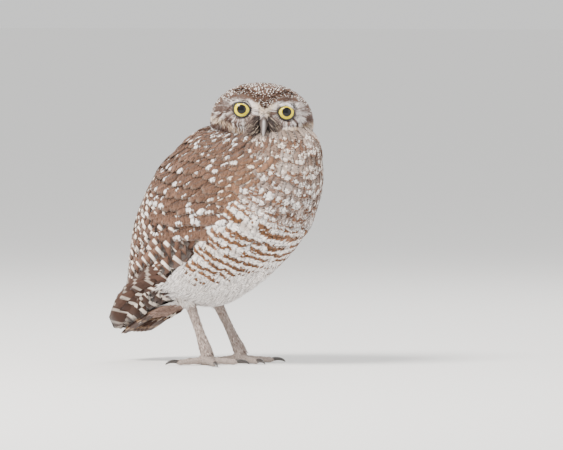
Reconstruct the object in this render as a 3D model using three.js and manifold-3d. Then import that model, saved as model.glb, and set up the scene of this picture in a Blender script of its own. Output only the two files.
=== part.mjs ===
// A burrowing owl standing still on level ground, life size, in millimetres, +Z up.
// The body faces -Y, the owl's left is +X, and the head is turned to the owl's right.
// Head, neck and torso are one form parted by thin cuts. Wings and tail carry their flight
// feathers and coverts as overlapping vanes, and the legs end in toes with flat undersides.
import * as THREE from "three";
import { mergeVertices } from "three/addons/utils/BufferGeometryUtils.js";
import Module from "manifold-3d";

const wasm = await Module();
wasm.setup();

const RIGHT = -1;
const LEFT = 1;
const GAP = 0.32; // left between touching pieces
const degrees = THREE.MathUtils.degToRad;
const { lerp, smoothstep } = THREE.MathUtils;

// Driving dimensions of the body: its sections from the neck down to the wing tips.
// Each has its place (back, up), half width, and depth to the back and to the front.
const BODY_SECTIONS = [
  { back: -30, up: 191, wide: 22, dorsal: 20, ventral: 20 },
  { back: -30, up: 182, wide: 37, dorsal: 27, ventral: 49 },
  { back: -20, up: 168, wide: 52, dorsal: 37, ventral: 61 },
  { back: -4, up: 150, wide: 55, dorsal: 55, ventral: 69 },
  { back: 12, up: 126, wide: 56, dorsal: 65, ventral: 64 },
  { back: 32, up: 102, wide: 51, dorsal: 65, ventral: 56 },
  { back: 54, up: 80, wide: 41, dorsal: 59, ventral: 44 },
  { back: 75, up: 62, wide: 31, dorsal: 47, ventral: 14 },
  { back: 97, up: 45, wide: 22, dorsal: 31, ventral: 6 },
  { back: 118, up: 26, wide: 13, dorsal: 13, ventral: 3 },
];
const WING_DEPTH = 6.5; // how far the torso lies inside the folded wing
const TORSO_END = 0.83; // share of the body's length where the rump closes

// Driving dimensions of the head, about the middle of the eye line.
const HEAD_PLACE = new THREE.Vector3(-4.7, -25.7, 203);
const HEAD_TURN = degrees(-52);
const HEAD_ROLL = degrees(3.5);
const HEAD_CENTRE = new THREE.Vector3(0, 3, -10);
const HEAD_HALF = { wide: 41.5, crown: 32.5, chin: 25, face: 29, nape: 33 };
const EYE_SPREAD = 17.6;
const EYE_RADIUS = 9;
const EYE_DEPTH = -14.6;
const EYE_SPLAY = degrees(9);
const LID_RADIUS = 7.2;
const LID_THICKNESS = 1.15;

// Driving dimensions of the legs: joints from inside the belly to the ankle.
const LEGS = {
  right: { side: RIGHT, hip: [-15, 35, 84], knee: [-17, 41, 60], heel: [-17.5, 38, 50], ankle: [-19, 19, 10] },
  left: { side: LEFT, hip: [15, 34, 84], knee: [17, 42, 60], heel: [17.5, 38.5, 50], ankle: [19, 15, 10] },
};
const THIGH_RADII = [17.5, 12.5, 6.2];
const TARSUS_RADIUS = 3.9;
const PAD = { wide: 6.4, long: 7.2, high: 5.2, up: 4.4 };
// Each toe's direction is measured from straight ahead towards the owl's left.
const TOES = {
  right: [
    { name: "inner", turn: 38, length: 18 },
    { name: "middle", turn: -38, length: 21 },
    { name: "outer", turn: -126, length: 18 },
    { name: "hind", turn: 162, length: 14 },
  ],
  left: [
    { name: "inner", turn: -16, length: 18 },
    { name: "middle", turn: 50, length: 21 },
    { name: "outer", turn: 128, length: 18 },
    { name: "hind", turn: -160, length: 14 },
  ],
};
const TOE_RADIUS = 2.9;
const CLAW_LENGTH = 9;

// Turns a closed geometry into a solid, with its faces pointing out.
function solidOf(geometry, tolerance = 1e-4) {
  const bare = new THREE.BufferGeometry();
  bare.setAttribute("position", geometry.getAttribute("position"));
  if (geometry.index) bare.setIndex(geometry.index);
  const merged = mergeVertices(bare, tolerance);
  const triVerts = new Uint32Array(merged.index.array);
  const vertProperties = merged.attributes.position.array;
  const solid = new wasm.Manifold(new wasm.Mesh({ numProp: 3, vertProperties, triVerts }));
  if (solid.volume() > 0) return solid;
  for (let i = 0; i < triVerts.length; i += 3) {
    [triVerts[i + 1], triVerts[i + 2]] = [triVerts[i + 2], triVerts[i + 1]];
  }
  return new wasm.Manifold(new wasm.Mesh({ numProp: 3, vertProperties, triVerts }));
}

// The largest closed surface of a solid on a fine grid, so that crumbs drop out and
// points nearer than the grid's step become one.
const GRID = 1e-3;
const FINEST = 0.03; // edges and steps smaller than this are smoothed away

function surfaceOf(solid) {
  const { vertProperties, triVerts } = solid.getMesh();
  const snapped = Float32Array.from(vertProperties, (value) => Math.round(value / GRID) * GRID);
  const surface = new THREE.BufferGeometry();
  surface.setAttribute("position", new THREE.BufferAttribute(snapped, 3));
  surface.setIndex([...triVerts]);
  return surface;
}

// Where a surface touches itself, its points are drawn in a little, so that it doesn't.
function openPinches(surface) {
  surface.computeVertexNormals();
  const position = surface.getAttribute("position");
  const normal = surface.getAttribute("normal");
  const places = new Map();
  for (let i = 0; i < position.count; i++) {
    const key = [position.getX(i), position.getY(i), position.getZ(i)].map((v) => Math.round(v / GRID)).join();
    if (!places.has(key)) places.set(key, []);
    places.get(key).push(i);
  }
  const shared = [...places.values()].filter((group) => group.length > 1).flat();
  for (const i of shared) {
    position.setXYZ(
      i,
      position.getX(i) - FINEST * normal.getX(i),
      position.getY(i) - FINEST * normal.getY(i),
      position.getZ(i) - FINEST * normal.getZ(i),
    );
  }
  surface.deleteAttribute("normal");
  return shared.length;
}

function largestSurface(solid) {
  let largest = solid.simplify(FINEST);
  for (;;) {
    const surface = surfaceOf(largest);
    const pinches = openPinches(surface);
    const bodies = solidOf(surface, GRID).decompose();
    if (bodies.length === 1 && pinches === 0) return surface;
    [largest] = bodies.sort((one, other) => other.volume() - one.volume());
  }
}

// A closed skin through rings of equally many points, with a fan over each end.
function loft(rings) {
  const around = rings[0].length;
  const points = rings.flat();
  const faces = [];
  for (let r = 0; r + 1 < rings.length; r++) {
    for (let k = 0; k < around; k++) {
      const a = r * around + k;
      const b = r * around + ((k + 1) % around);
      faces.push(a, b, a + around, b, b + around, a + around);
    }
  }
  for (const [ring, first] of [[rings[0], true], [rings.at(-1), false]]) {
    const middle = ring.reduce((sum, p) => sum.add(p), new THREE.Vector3()).divideScalar(around);
    const start = first ? 0 : (rings.length - 1) * around;
    const centre = points.push(middle) - 1;
    for (let k = 0; k < around; k++) {
      const a = start + k;
      const b = start + ((k + 1) % around);
      faces.push(...(first ? [b, a, centre] : [a, b, centre]));
    }
  }
  const geometry = new THREE.BufferGeometry().setFromPoints(points);
  geometry.setIndex(faces);
  return solidOf(geometry);
}

// A limb of round or oval section along a smooth curve through its joints.
function limb(joints, { steps, around, flat = 1, grow = 0, radii }) {
  const curve = new THREE.CatmullRomCurve3(joints.map((p) => new THREE.Vector3(...p)));
  const rings = [];
  for (let i = 0; i <= steps; i++) {
    const share = i / steps;
    const place = share * (radii.length - 1);
    const k = Math.min(Math.floor(place), radii.length - 2);
    const radius = lerp(radii[k], radii[k + 1], place - k) + grow;
    const centre = curve.getPoint(share);
    const along = curve.getTangent(share);
    if (i === 0) centre.addScaledVector(along, -grow);
    if (i === steps) centre.addScaledVector(along, grow);
    const side = new THREE.Vector3(0, 0, 1).cross(along);
    if (side.length() < 0.2) side.set(1, 0, 0);
    side.normalize();
    const out = along.clone().cross(side).normalize();
    rings.push(
      Array.from({ length: around }, (_, j) => {
        const turn = (2 * Math.PI * j) / around;
        return centre
          .clone()
          .addScaledVector(side, radius * Math.cos(turn))
          .addScaledVector(out, radius * flat * Math.sin(turn));
      }),
    );
  }
  return loft(rings);
}

// A smooth value through the body's sections at a share of its length.
function sectionValue(key, share) {
  const last = BODY_SECTIONS.length - 1;
  const place = THREE.MathUtils.clamp(share, 0, 1) * last;
  const i = Math.min(Math.floor(place), last - 1);
  const f = place - i;
  const at = (n) => BODY_SECTIONS[THREE.MathUtils.clamp(n, 0, last)][key];
  const [a, b, c, d] = [at(i - 1), at(i), at(i + 1), at(i + 2)];
  return 0.5 * (2 * b + (c - a) * f + (2 * a - 5 * b + 4 * c - d) * f * f + (3 * b - a - 3 * c + d) * f ** 3);
}

// A point of the body's outline: share runs from neck to wing tips, turn is the angle
// from the middle of the back round the owl's left, and lift is the height over it.
function bodyPoint(share, turn, lift = 0) {
  const step = 1e-3;
  const [from, to] = [Math.max(share - step, 0), Math.min(share + step, 1)];
  const along = new THREE.Vector2(
    sectionValue("back", to) - sectionValue("back", from),
    sectionValue("up", to) - sectionValue("up", from),
  ).normalize();
  const depth = sectionValue(Math.cos(turn) > 0 ? "dorsal" : "ventral", share) + lift;
  const reach = depth * Math.cos(turn);
  return new THREE.Vector3(
    (sectionValue("wide", share) + lift) * Math.sin(turn),
    sectionValue("back", share) - along.y * reach,
    sectionValue("up", share) + along.x * reach,
  );
}

// How far the torso lies inside the outline, where the folded wings cover it.
function wingInset(share, turn) {
  const side = Math.abs(THREE.MathUtils.radToDeg(turn));
  const around = 1 - smoothstep(side, 118, 134);
  const along = smoothstep(share, 0.1, 0.2);
  const rump = 9 * smoothstep(share, 0.5, TORSO_END);
  return (WING_DEPTH + rump) * around * along;
}

// The torso runs on up into the head, which it is parted from later.
function torsoForm(grow = 0) {
  const rows = 18;
  const around = 28;
  const rings = [];
  for (let i = 0; i <= rows; i++) {
    const share = (TORSO_END * i) / rows;
    const close = 1 - smoothstep(share, TORSO_END - 0.16, TORSO_END + 0.05) * 0.75;
    const middle = bodyPoint(share, 0).add(bodyPoint(share, Math.PI)).multiplyScalar(0.5);
    rings.push(
      Array.from({ length: around }, (_, j) => {
        const turn = (2 * Math.PI * j) / around - Math.PI;
        const point = bodyPoint(share, turn, -wingInset(share, turn));
        const out = point.clone().sub(middle).multiplyScalar(close);
        return middle.clone().add(out.setLength(out.length() + grow));
      }),
    );
  }
  return loft(rings);
}

// Moves a solid made about the eye line to the head's place, turned and tilted.
const headMatrix = new THREE.Matrix4()
  .makeTranslation(HEAD_PLACE)
  .multiply(new THREE.Matrix4().makeRotationZ(HEAD_TURN))
  .multiply(new THREE.Matrix4().makeRotationY(HEAD_ROLL));

const onHead = (solid) => solid.transform(headMatrix.elements);

// How far the face stands forward of a plain oval: hollow discs round the eyes,
// a wedge down to the bill, slanting brows and full cheeks.
function faceRelief(x, z) {
  const bump = (dx, dz, sx, sz) => Math.exp(-((dx / sx) ** 2) - (dz / sz) ** 2);
  const side = Math.abs(x);
  const hollow = -4.6 * bump(side - EYE_SPREAD, z, 10.5, 9.5);
  const wedge = 3.4 * bump(x, z + 2, 6, 13);
  const browLine = 5.5 + 0.32 * side;
  const brow = 2.8 * bump(side - 15, z - browLine - 3, 13, 4.2);
  const cheek = 2.2 * bump(side - 27, z + 13, 11, 7);
  return hollow + wedge + brow + cheek;
}

function headForm(grow = 0) {
  const detail = 7;
  const geometry = new THREE.IcosahedronGeometry(1, detail);
  const position = geometry.getAttribute("position");
  const direction = new THREE.Vector3();
  for (let i = 0; i < position.count; i++) {
    direction.fromBufferAttribute(position, i);
    direction.y -= 0.3; // gathers more of the surface on the face
    direction.normalize();
    const high = direction.z > 0 ? HEAD_HALF.crown : HEAD_HALF.chin;
    const deep = direction.y < 0 ? HEAD_HALF.face : HEAD_HALF.nape;
    const power = 2.15;
    const size =
      Math.abs(direction.x / HEAD_HALF.wide) ** power +
      Math.abs(direction.y / deep) ** power +
      Math.abs(direction.z / high) ** power;
    const point = direction.clone().multiplyScalar(size ** (-1 / power)).add(HEAD_CENTRE);
    const front = smoothstep(-point.y, -6, 12);
    point.y -= front * faceRelief(point.x, point.z);
    point.addScaledVector(direction, grow);
    position.setXYZ(i, point.x, point.y, point.z);
  }
  return solidOf(geometry);
}

const eyeMatrix = (side) =>
  new THREE.Matrix4()
    .makeTranslation(side * EYE_SPREAD, EYE_DEPTH, 0)
    .multiply(new THREE.Matrix4().makeRotationZ(side * EYE_SPLAY));

function eyeball(side, grow = 0) {
  const sphere = new THREE.SphereGeometry(EYE_RADIUS + grow, 14, 9).rotateX(Math.PI / 2);
  return solidOf(sphere.applyMatrix4(eyeMatrix(side)));
}

// The rim of both lids: an even ring, a little heavier above.
function lids(side) {
  const plane = -Math.sqrt(EYE_RADIUS ** 2 - LID_RADIUS ** 2);
  const ring = new THREE.TorusGeometry(LID_RADIUS + LID_THICKNESS * 0.6, LID_THICKNESS, 6, 20);
  const position = ring.getAttribute("position");
  for (let i = 0; i < position.count; i++) {
    const high = position.getY(i);
    if (high > 0) position.setY(i, high * 0.9);
    if (high > 0) position.setZ(i, position.getZ(i) * 1.25 + high * 0.16);
  }
  ring.rotateX(Math.PI / 2).translate(0, plane, 0);
  return solidOf(ring.applyMatrix4(eyeMatrix(side)));
}

// Half of the bill, lofted through ovals that each span from a point of its ridge to a
// point of its underside. The root lies inside the face.
const UPPER_BILL = [
  { ridge: [-18, -4.2], under: [-18, -13.4], wide: 4.6 },
  { ridge: [-27, -4.4], under: [-26.5, -13.6], wide: 4.7 },
  { ridge: [-31.4, -6], under: [-28.8, -14.2], wide: 4.3 },
  { ridge: [-34.2, -9.2], under: [-30.6, -15], wide: 3.5 },
  { ridge: [-35.6, -12.8], under: [-32, -16.2], wide: 2.5 },
  { ridge: [-35.9, -16.2], under: [-33.6, -17.8], wide: 1.4 },
  { ridge: [-35.3, -19.4], under: [-34.7, -19.7], wide: 0.4 },
];
const LOWER_BILL = [
  { ridge: [-18, -12.6], under: [-18, -17.4], wide: 3.7 },
  { ridge: [-26, -12.8], under: [-26, -17.8], wide: 3.7 },
  { ridge: [-29.6, -14], under: [-29.2, -18.4], wide: 3 },
  { ridge: [-32, -15.6], under: [-31.8, -18.6], wide: 1.9 },
  { ridge: [-33.2, -17.4], under: [-33.1, -18.3], wide: 0.6 },
];

function halfBill(sections, grow = 0) {
  const around = 12;
  const last = sections.length - 1;
  return loft(
    sections.map(({ ridge, under, wide }, i) => {
      const top = new THREE.Vector3(0, ...ridge);
      const span = top.clone().sub(new THREE.Vector3(0, ...under));
      const up = span.clone().normalize();
      const centre = top.addScaledVector(span, -0.5);
      const half = span.length() / 2 + grow;
      const forward = new THREE.Vector3(0, -up.z, up.y);
      const push = i === last ? grow : i === 0 ? -grow : 0;
      centre.addScaledVector(forward, push);
      return Array.from({ length: around }, (_, j) => {
        const turn = (2 * Math.PI * j) / around;
        return centre
          .clone()
          .addScaledVector(up, half * Math.sin(turn))
          .add(new THREE.Vector3((wide + grow) * Math.cos(turn), 0, 0));
      });
    }),
  );
}

const upperBill = (grow) => halfBill(UPPER_BILL, grow);
const lowerBill = (grow) => halfBill(LOWER_BILL, grow);

function nostril(side) {
  const pit = new THREE.SphereGeometry(1, 10, 8).scale(0.8, 1.3, 0.9);
  return solidOf(pit.translate(side * 3.6, -29.6, -7.4));
}

// A feather's blade through stations, each with its middle, cross direction and width.
// Both faces are split alike, so that they stay apart however the blade bends.
function blade(stations, thickness) {
  const points = [];
  const faces = [];
  for (const { middle, side, out, width } of stations) {
    for (const [across, up] of [[-1, -1], [1, -1], [1, 1], [-1, 1]]) {
      points.push(
        middle
          .clone()
          .addScaledVector(side, (across * width) / 2)
          .addScaledVector(out, (up * thickness) / 2),
      );
    }
  }
  const quad = (a, b, c, d) => faces.push(a, b, c, a, c, d);
  for (let i = 0; i + 1 < stations.length; i++) {
    const [a, b] = [4 * i, 4 * i + 4];
    faces.push(a, b, a + 1, a + 1, b, b + 1);
    faces.push(a + 3, a + 2, b + 3, a + 2, b + 2, b + 3);
    quad(a + 1, b + 1, b + 2, a + 2);
    quad(a, a + 3, b + 3, b);
  }
  const end = 4 * (stations.length - 1);
  quad(0, 1, 2, 3);
  quad(end, end + 3, end + 2, end + 1);
  const geometry = new THREE.BufferGeometry().setFromPoints(points);
  geometry.setIndex(faces);
  return solidOf(geometry);
}

// How a vane's width grows from its root and rounds off at its tip.
const VANE_STATIONS = [
  { at: 0, width: 0.62 },
  { at: 0.4, width: 1 },
  { at: 0.84, width: 0.92 },
  { at: 1, width: 0.36 },
];

// A vane that lies on the body's outline from its root to its tip.
function bodyVane({ side, root, tip, width, lift, rise, tilt, thickness = 0.6 }) {
  const at = (s) => {
    const share = lerp(root.share, tip.share, s);
    const turn = side * degrees(lerp(root.turn, tip.turn, s));
    return { share, turn, lift: lerp(lift, lift + rise, s) };
  };
  const stations = VANE_STATIONS.map(({ at: s, width: part }) => {
    const { share, turn, lift: height } = at(s);
    const ahead = at(Math.min(s + 0.02, 1));
    const behind = at(Math.max(s - 0.02, 0));
    const along = bodyPoint(ahead.share, ahead.turn, ahead.lift)
      .sub(bodyPoint(behind.share, behind.turn, behind.lift))
      .normalize();
    const middle = bodyPoint(share, turn, height);
    const round = bodyPoint(share, turn + 0.02, height).sub(bodyPoint(share, turn - 0.02, height));
    const out = round.cross(along).normalize();
    if (out.x * side < 0 && Math.abs(out.x) > 0.2) out.negate();
    if (Math.abs(out.x) <= 0.2 && out.y + out.z < 0) out.negate();
    const low = along.clone().cross(out).multiplyScalar(-side).normalize();
    const cross = low.multiplyScalar(Math.cos(tilt)).addScaledVector(out, Math.sin(tilt)).normalize();
    const normal = along.clone().cross(cross).normalize();
    if (normal.dot(out) < 0) normal.negate();
    return { middle, side: cross, out: normal, width: width * part };
  });
  return blade(stations, thickness);
}

// The tiers of a folded wing, from the long primaries low on the side up to the
// scapulars on the back. Each runs from its lowest feather to its highest.
const WING_TIERS = [
  {
    name: "primaries",
    count: 7,
    root: (i) => ({ share: 0.47 - 0.006 * i, turn: 98 + 4 * i }),
    tip: (i) => ({ share: 0.85 + 0.06 * i - 0.0058 * i * i, turn: 86 + 5.6 * i }),
    width: 13,
    lift: -4.6,
    rise: 1.2,
  },
  {
    name: "secondaries",
    count: 6,
    root: (i) => ({ share: 0.4 + 0.011 * i, turn: 109 - 16 * i }),
    tip: (i) => ({ share: 0.71 + 0.041 * i, turn: 107 - 16 * i }),
    width: 23,
    lift: -3.2,
    rise: 1.2,
  },
  {
    name: "greater_coverts",
    count: 5,
    root: (i) => ({ share: 0.31 + 0.007 * i, turn: 116 - 21 * i }),
    tip: (i) => ({ share: 0.5 + 0.025 * i, turn: 113 - 20.6 * i }),
    width: 28,
    lift: -2.1,
    rise: 1.1,
  },
  {
    name: "median_coverts",
    count: 4,
    root: (i) => ({ share: 0.22 + 0.012 * i, turn: 116 - 24 * i }),
    tip: (i) => ({ share: 0.385 + 0.018 * i, turn: 114 - 24 * i }),
    width: 30,
    lift: -1.6,
    rise: 1.2,
  },
  {
    name: "scapulars",
    count: 2,
    root: (i) => ({ share: 0.21 + 0.04 * i, turn: 50 - 19 * i }),
    tip: (i) => ({ share: 0.43 + 0.08 * i, turn: 47 - 18 * i }),
    width: 26,
    lift: -1.9,
    rise: 1.3,
  },
];

// The arm of a folded wing: a curved plate from the shoulder, hidden by its feathers.
function wingArm(side) {
  const rows = 8;
  const columns = 6;
  const [first, last] = [0.1, 0.62];
  const rings = [];
  for (let i = 0; i <= rows; i++) {
    const share = lerp(first, last, i / rows);
    const grown = Math.sin((Math.PI / 2) * Math.min(1, (i + 0.6) / 4));
    const fade = smoothstep(share, 0.48, last);
    const lowest = lerp(94, 131, grown) - 24 * fade;
    const highest = lerp(72, 12, grown) + 20 * fade;
    const outer = [];
    const inner = [];
    for (let j = 0; j <= columns; j++) {
      const edge = Math.sin((Math.PI * j) / columns) ** 0.5;
      const turn = side * degrees(lerp(lowest, highest, j / columns));
      const base = -wingInset(share, turn) - 2;
      const top = lerp(base + 1.5, -1.2 - 2.2 * fade, edge * grown);
      outer.push(bodyPoint(share, turn, Math.max(top, base + 1.5)));
      inner.unshift(bodyPoint(share, turn, base));
    }
    rings.push([...outer, ...inner]);
  }
  return loft(rings);
}

function wingForm(side) {
  const pieces = [wingArm(side)];
  for (const tier of WING_TIERS) {
    for (let i = 0; i < tier.count; i++) {
      pieces.push(
        bodyVane({
          side,
          root: tier.root(i),
          tip: tier.tip(i),
          width: tier.width,
          lift: tier.lift,
          rise: tier.rise,
          tilt: degrees(11),
        }),
      );
    }
  }
  return wasm.Manifold.union(pieces);
}

// The tail: twelve feathers in a narrow fan, the middle pair on top, from a root
// wrapped in tail coverts.
const TAIL = { back: 62, up: 56, slope: degrees(-33), length: 64, count: 12, width: 11, layer: 0.92 };
const TAIL_FAN = degrees(1.35);
const TAIL_ROOT_SPACING = 1.5;

function tailPoint(across, along, up) {
  const [c, s] = [Math.cos(TAIL.slope), Math.sin(TAIL.slope)];
  return new THREE.Vector3(across, TAIL.back + along * c - up * s, TAIL.up + along * s + up * c);
}

function tailForm() {
  const coverts = [
    { along: -4, wide: 14, high: 8.5 },
    { along: 4, wide: 15, high: 8 },
    { along: 14, wide: 14.5, high: 6.5 },
    { along: 24, wide: 12.5, high: 4 },
    { along: 32, wide: 9, high: 1.6 },
  ];
  const around = 16;
  const block = loft(
    coverts.map(({ along, wide, high }) =>
      Array.from({ length: around }, (_, j) => {
        const turn = (2 * Math.PI * j) / around;
        return tailPoint(wide * Math.cos(turn), along, high * Math.sin(turn) - 1.5);
      }),
    ),
  );
  const pieces = [block];
  const half = (TAIL.count - 1) / 2;
  for (let k = 0; k < TAIL.count; k++) {
    const i = k - half;
    const spread = TAIL_FAN * i;
    const reach = TAIL.length - 0.22 * i * i;
    const drop = -TAIL.layer * (Math.abs(i) - (i > 0 ? 0.5 : 0));
    const along = tailPoint(Math.sin(spread), Math.cos(spread), 0).sub(tailPoint(0, 0, 0)).normalize();
    const up = tailPoint(0, 0, 1).sub(tailPoint(0, 0, 0));
    const side = along.clone().cross(up).normalize();
    pieces.push(
      blade(
        VANE_STATIONS.map(({ at, width }) => ({
          middle: tailPoint(TAIL_ROOT_SPACING * i + reach * at * Math.sin(spread), reach * at, drop),
          side,
          out: up,
          width: TAIL.width * width,
        })),
        0.6,
      ),
    );
  }
  return wasm.Manifold.union(pieces);
}

// The feathered thigh below the belly, and the long bare-looking shank under it.
function thigh({ hip, knee, heel }, grow = 0) {
  return limb([hip, knee, heel], { steps: 6, around: 12, grow, radii: THIGH_RADII });
}

function shank({ heel, ankle }, grow = 0) {
  const start = new THREE.Vector3(...heel);
  const end = new THREE.Vector3(...ankle);
  const above = start.clone().lerp(end, -0.14);
  const below = start.clone().lerp(end, 1.06);
  const r = TARSUS_RADIUS;
  const radii = [r * 1.2, r * 1.08, r * 0.95, r * 0.9, r * 0.95, r * 1.25, r * 1.3];
  return limb([above.toArray(), start.clone().lerp(end, 0.5).toArray(), below.toArray()], {
    steps: 8,
    around: 10,
    grow,
    radii,
  });
}

function pad({ ankle }, grow = 0) {
  const ball = new THREE.SphereGeometry(1, 12, 8).scale(PAD.wide + grow, PAD.long + grow, PAD.high + grow);
  return solidOf(ball.translate(ankle[0], ankle[1], PAD.up));
}

const heading = (turn) => new THREE.Vector3(Math.sin(degrees(turn)), -Math.cos(degrees(turn)), 0);

function toePath({ ankle }, { turn, length }) {
  const way = heading(turn);
  const root = new THREE.Vector3(ankle[0], ankle[1], 0);
  const at = (reach, up) => root.clone().addScaledVector(way, reach).setZ(up).toArray();
  const full = PAD.long + length;
  return [at(2, 3.9), at(PAD.long, 3.6), at(lerp(PAD.long, full, 0.5), 2.9), at(full, 2.3)];
}

function toe(leg, digit, grow = 0) {
  const r = TOE_RADIUS;
  const radii = [r * 1.15, r * 1.1, r * 0.96, r * 1.08, r * 0.88, r * 0.98, r * 0.82, r * 0.9, r * 0.42];
  return limb(toePath(leg, digit), { steps: 8, around: 8, flat: 0.95, grow, radii });
}

// A claw curves up out of the toe's end and down to its point near the ground.
function claw({ ankle }, { turn, length }) {
  const way = heading(turn);
  const root = new THREE.Vector3(ankle[0], ankle[1], 0);
  const end = PAD.long + length;
  const at = (reach, up) => root.clone().addScaledVector(way, end + reach).setZ(up).toArray();
  const curve = [at(-3, 2.4), at(0.5, 3.2), at(CLAW_LENGTH * 0.5, 3.1), at(CLAW_LENGTH * 0.85, 1.9), at(CLAW_LENGTH, 0.6)];
  return limb(curve, { steps: 5, around: 6, radii: [1.6, 1.55, 1.35, 0.9, 0.3] });
}

const aboveGround = (solid) => solid.trimByPlane([0, 0, 1], 0);

// Parts one form from another along a plane, leaving half the gap on each side.
function planeThrough(point, normal) {
  const unit = new THREE.Vector3(...normal).normalize();
  return { unit, offset: unit.dot(new THREE.Vector3(...point)) };
}
const beyond = (solid, { unit, offset }) => solid.trimByPlane(unit.toArray(), offset + GAP / 2);
const before = (solid, { unit, offset }) =>
  solid.trimByPlane(unit.clone().negate().toArray(), -offset + GAP / 2);

const MATERIALS = {
  plumage: { color: 0x7c5a41, roughness: 0.9 },
  breast: { color: 0xd9c9b4, roughness: 0.92 },
  leg: { color: 0xb5a59c, roughness: 0.85 },
  bill: { color: 0x8f8b86, roughness: 0.45 },
  claw: { color: 0x2b2523, roughness: 0.4 },
  eye: { color: 0xe8d42e, roughness: 0.08 },
};

const pieces = [];

function addNode(name, solid, look) {
  pieces.push({ name, solid, look });
}

// Head, neck and torso, parted from one form.
const fleshRoom = torsoForm(GAP).add(onHead(headForm(GAP)));
const bills = upperBill(GAP).add(lowerBill(GAP));
const sockets = eyeball(LEFT, GAP).add(eyeball(RIGHT, GAP));
const faceCuts = onHead(sockets.add(bills));
const headShape = onHead(headForm().add(lids(LEFT)).add(lids(RIGHT)));
const flesh = torsoForm().add(headShape).subtract(faceCuts);
const headCut = planeThrough([-4, -24, 181], [0.06, 0.02, 1]);
const neckCut = planeThrough([0, -18, 167], [0, -0.08, 1]);
addNode("head", beyond(flesh, headCut), "plumage");
addNode("neck", beyond(before(flesh, headCut), neckCut), "plumage");
addNode("torso", before(flesh, neckCut), "breast");

addNode("bill_upper", onHead(upperBill().subtract(nostril(LEFT)).subtract(nostril(RIGHT))), "bill");
addNode("bill_lower", onHead(lowerBill().subtract(upperBill(GAP))), "bill");

addNode("tail", tailForm().subtract(fleshRoom), "plumage");

for (const [name, leg] of Object.entries(LEGS)) {
  const eye = onHead(eyeball(leg.side));
  addNode(`eye_${name}`, eye, "eye");
  const wing = wingForm(leg.side).subtract(fleshRoom).subtract(thigh(leg, GAP));
  addNode(`wing_${name}`, wing, "plumage");
  addNode(`thigh_${name}`, thigh(leg).subtract(fleshRoom).subtract(shank(leg, GAP)), "breast");
  addNode(`shank_${name}`, aboveGround(shank(leg).subtract(pad(leg, GAP)).subtract(fleshRoom)), "leg");
  addNode(`foot_${name}`, aboveGround(pad(leg)), "leg");
  for (const digit of TOES[name]) {
    const others = TOES[name].filter((other) => other !== digit && other.turn > digit.turn);
    let body = toe(leg, digit).subtract(pad(leg, GAP)).subtract(shank(leg, GAP));
    for (const other of others) body = body.subtract(toe(leg, other, GAP));
    addNode(`toe_${name}_${digit.name}`, aboveGround(body), "leg");
    addNode(`claw_${name}_${digit.name}`, claw(leg, digit).subtract(toe(leg, digit, GAP)), "claw");
  }
}

// The origin is on the ground, under the middle of the whole owl.
const extent = new THREE.Box3();
for (const { solid } of pieces) {
  const { min, max } = solid.boundingBox();
  extent.expandByPoint(new THREE.Vector3(...min)).expandByPoint(new THREE.Vector3(...max));
}
const middle = extent.getCenter(new THREE.Vector3());

const owl = new THREE.Group();
for (const { name, solid, look } of pieces) {
  const surface = largestSurface(solid.translate([-middle.x, -middle.y, 0]));
  const material = new THREE.MeshStandardMaterial({ metalness: 0, ...MATERIALS[look] });
  const mesh = new THREE.Mesh(surface, material);
  mesh.name = name;
  owl.add(mesh);
}

export default owl;
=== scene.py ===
# The looks of a burrowing owl: one skin, feathers as solid vanes laid over it, eyes, bill,
# legs and claws, on a pale floor in soft light. Lengths are in millimetres in the owl's own
# design frame until a mesh is made, which moves them into the row frame in metres.
import math

import bmesh
import bpy
import numpy as np
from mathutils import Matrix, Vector


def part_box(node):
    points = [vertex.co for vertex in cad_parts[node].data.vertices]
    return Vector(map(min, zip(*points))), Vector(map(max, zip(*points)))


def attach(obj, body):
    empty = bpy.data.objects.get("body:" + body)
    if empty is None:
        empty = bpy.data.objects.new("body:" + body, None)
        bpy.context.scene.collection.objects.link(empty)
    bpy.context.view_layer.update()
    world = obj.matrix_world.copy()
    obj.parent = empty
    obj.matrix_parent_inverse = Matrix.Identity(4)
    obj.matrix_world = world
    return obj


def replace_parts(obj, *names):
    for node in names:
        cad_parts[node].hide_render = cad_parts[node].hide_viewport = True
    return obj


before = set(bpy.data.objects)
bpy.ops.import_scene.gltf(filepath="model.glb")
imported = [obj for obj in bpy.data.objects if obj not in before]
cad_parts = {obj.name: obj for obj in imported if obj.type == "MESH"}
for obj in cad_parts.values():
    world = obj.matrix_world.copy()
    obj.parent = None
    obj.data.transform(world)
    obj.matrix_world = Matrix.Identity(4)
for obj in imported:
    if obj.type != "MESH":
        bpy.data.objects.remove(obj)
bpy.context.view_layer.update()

rng = np.random.default_rng(7)
RAD = np.pi / 180


# Body outline
# Sections from the neck to the wing tips: back, up, half width, depth to back and front.
SECTIONS = np.array(
    [
        [-30, 191, 22, 20, 20],
        [-30, 182, 37, 27, 49],
        [-20, 168, 52, 37, 61],
        [-4, 150, 55, 55, 69],
        [12, 126, 56, 65, 64],
        [32, 102, 51, 65, 56],
        [54, 80, 41, 59, 44],
        [75, 62, 31, 47, 14],
        [97, 45, 22, 31, 6],
        [118, 26, 13, 13, 3],
    ],
    float,
)
HALF_WIDTH, TO_BACK, TO_FRONT = 2, 3, 4


def unit(v):
    """Vectors made one long."""
    return v / np.maximum(np.linalg.norm(v, axis=-1, keepdims=True), 1e-9)


def smooth(x, low, high):
    """0 at low, 1 at high, and a soft step between; high may be the smaller."""
    s = np.clip((np.asarray(x, float) - low) / (high - low), 0, 1)
    return s * s * (3 - 2 * s)


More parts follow.
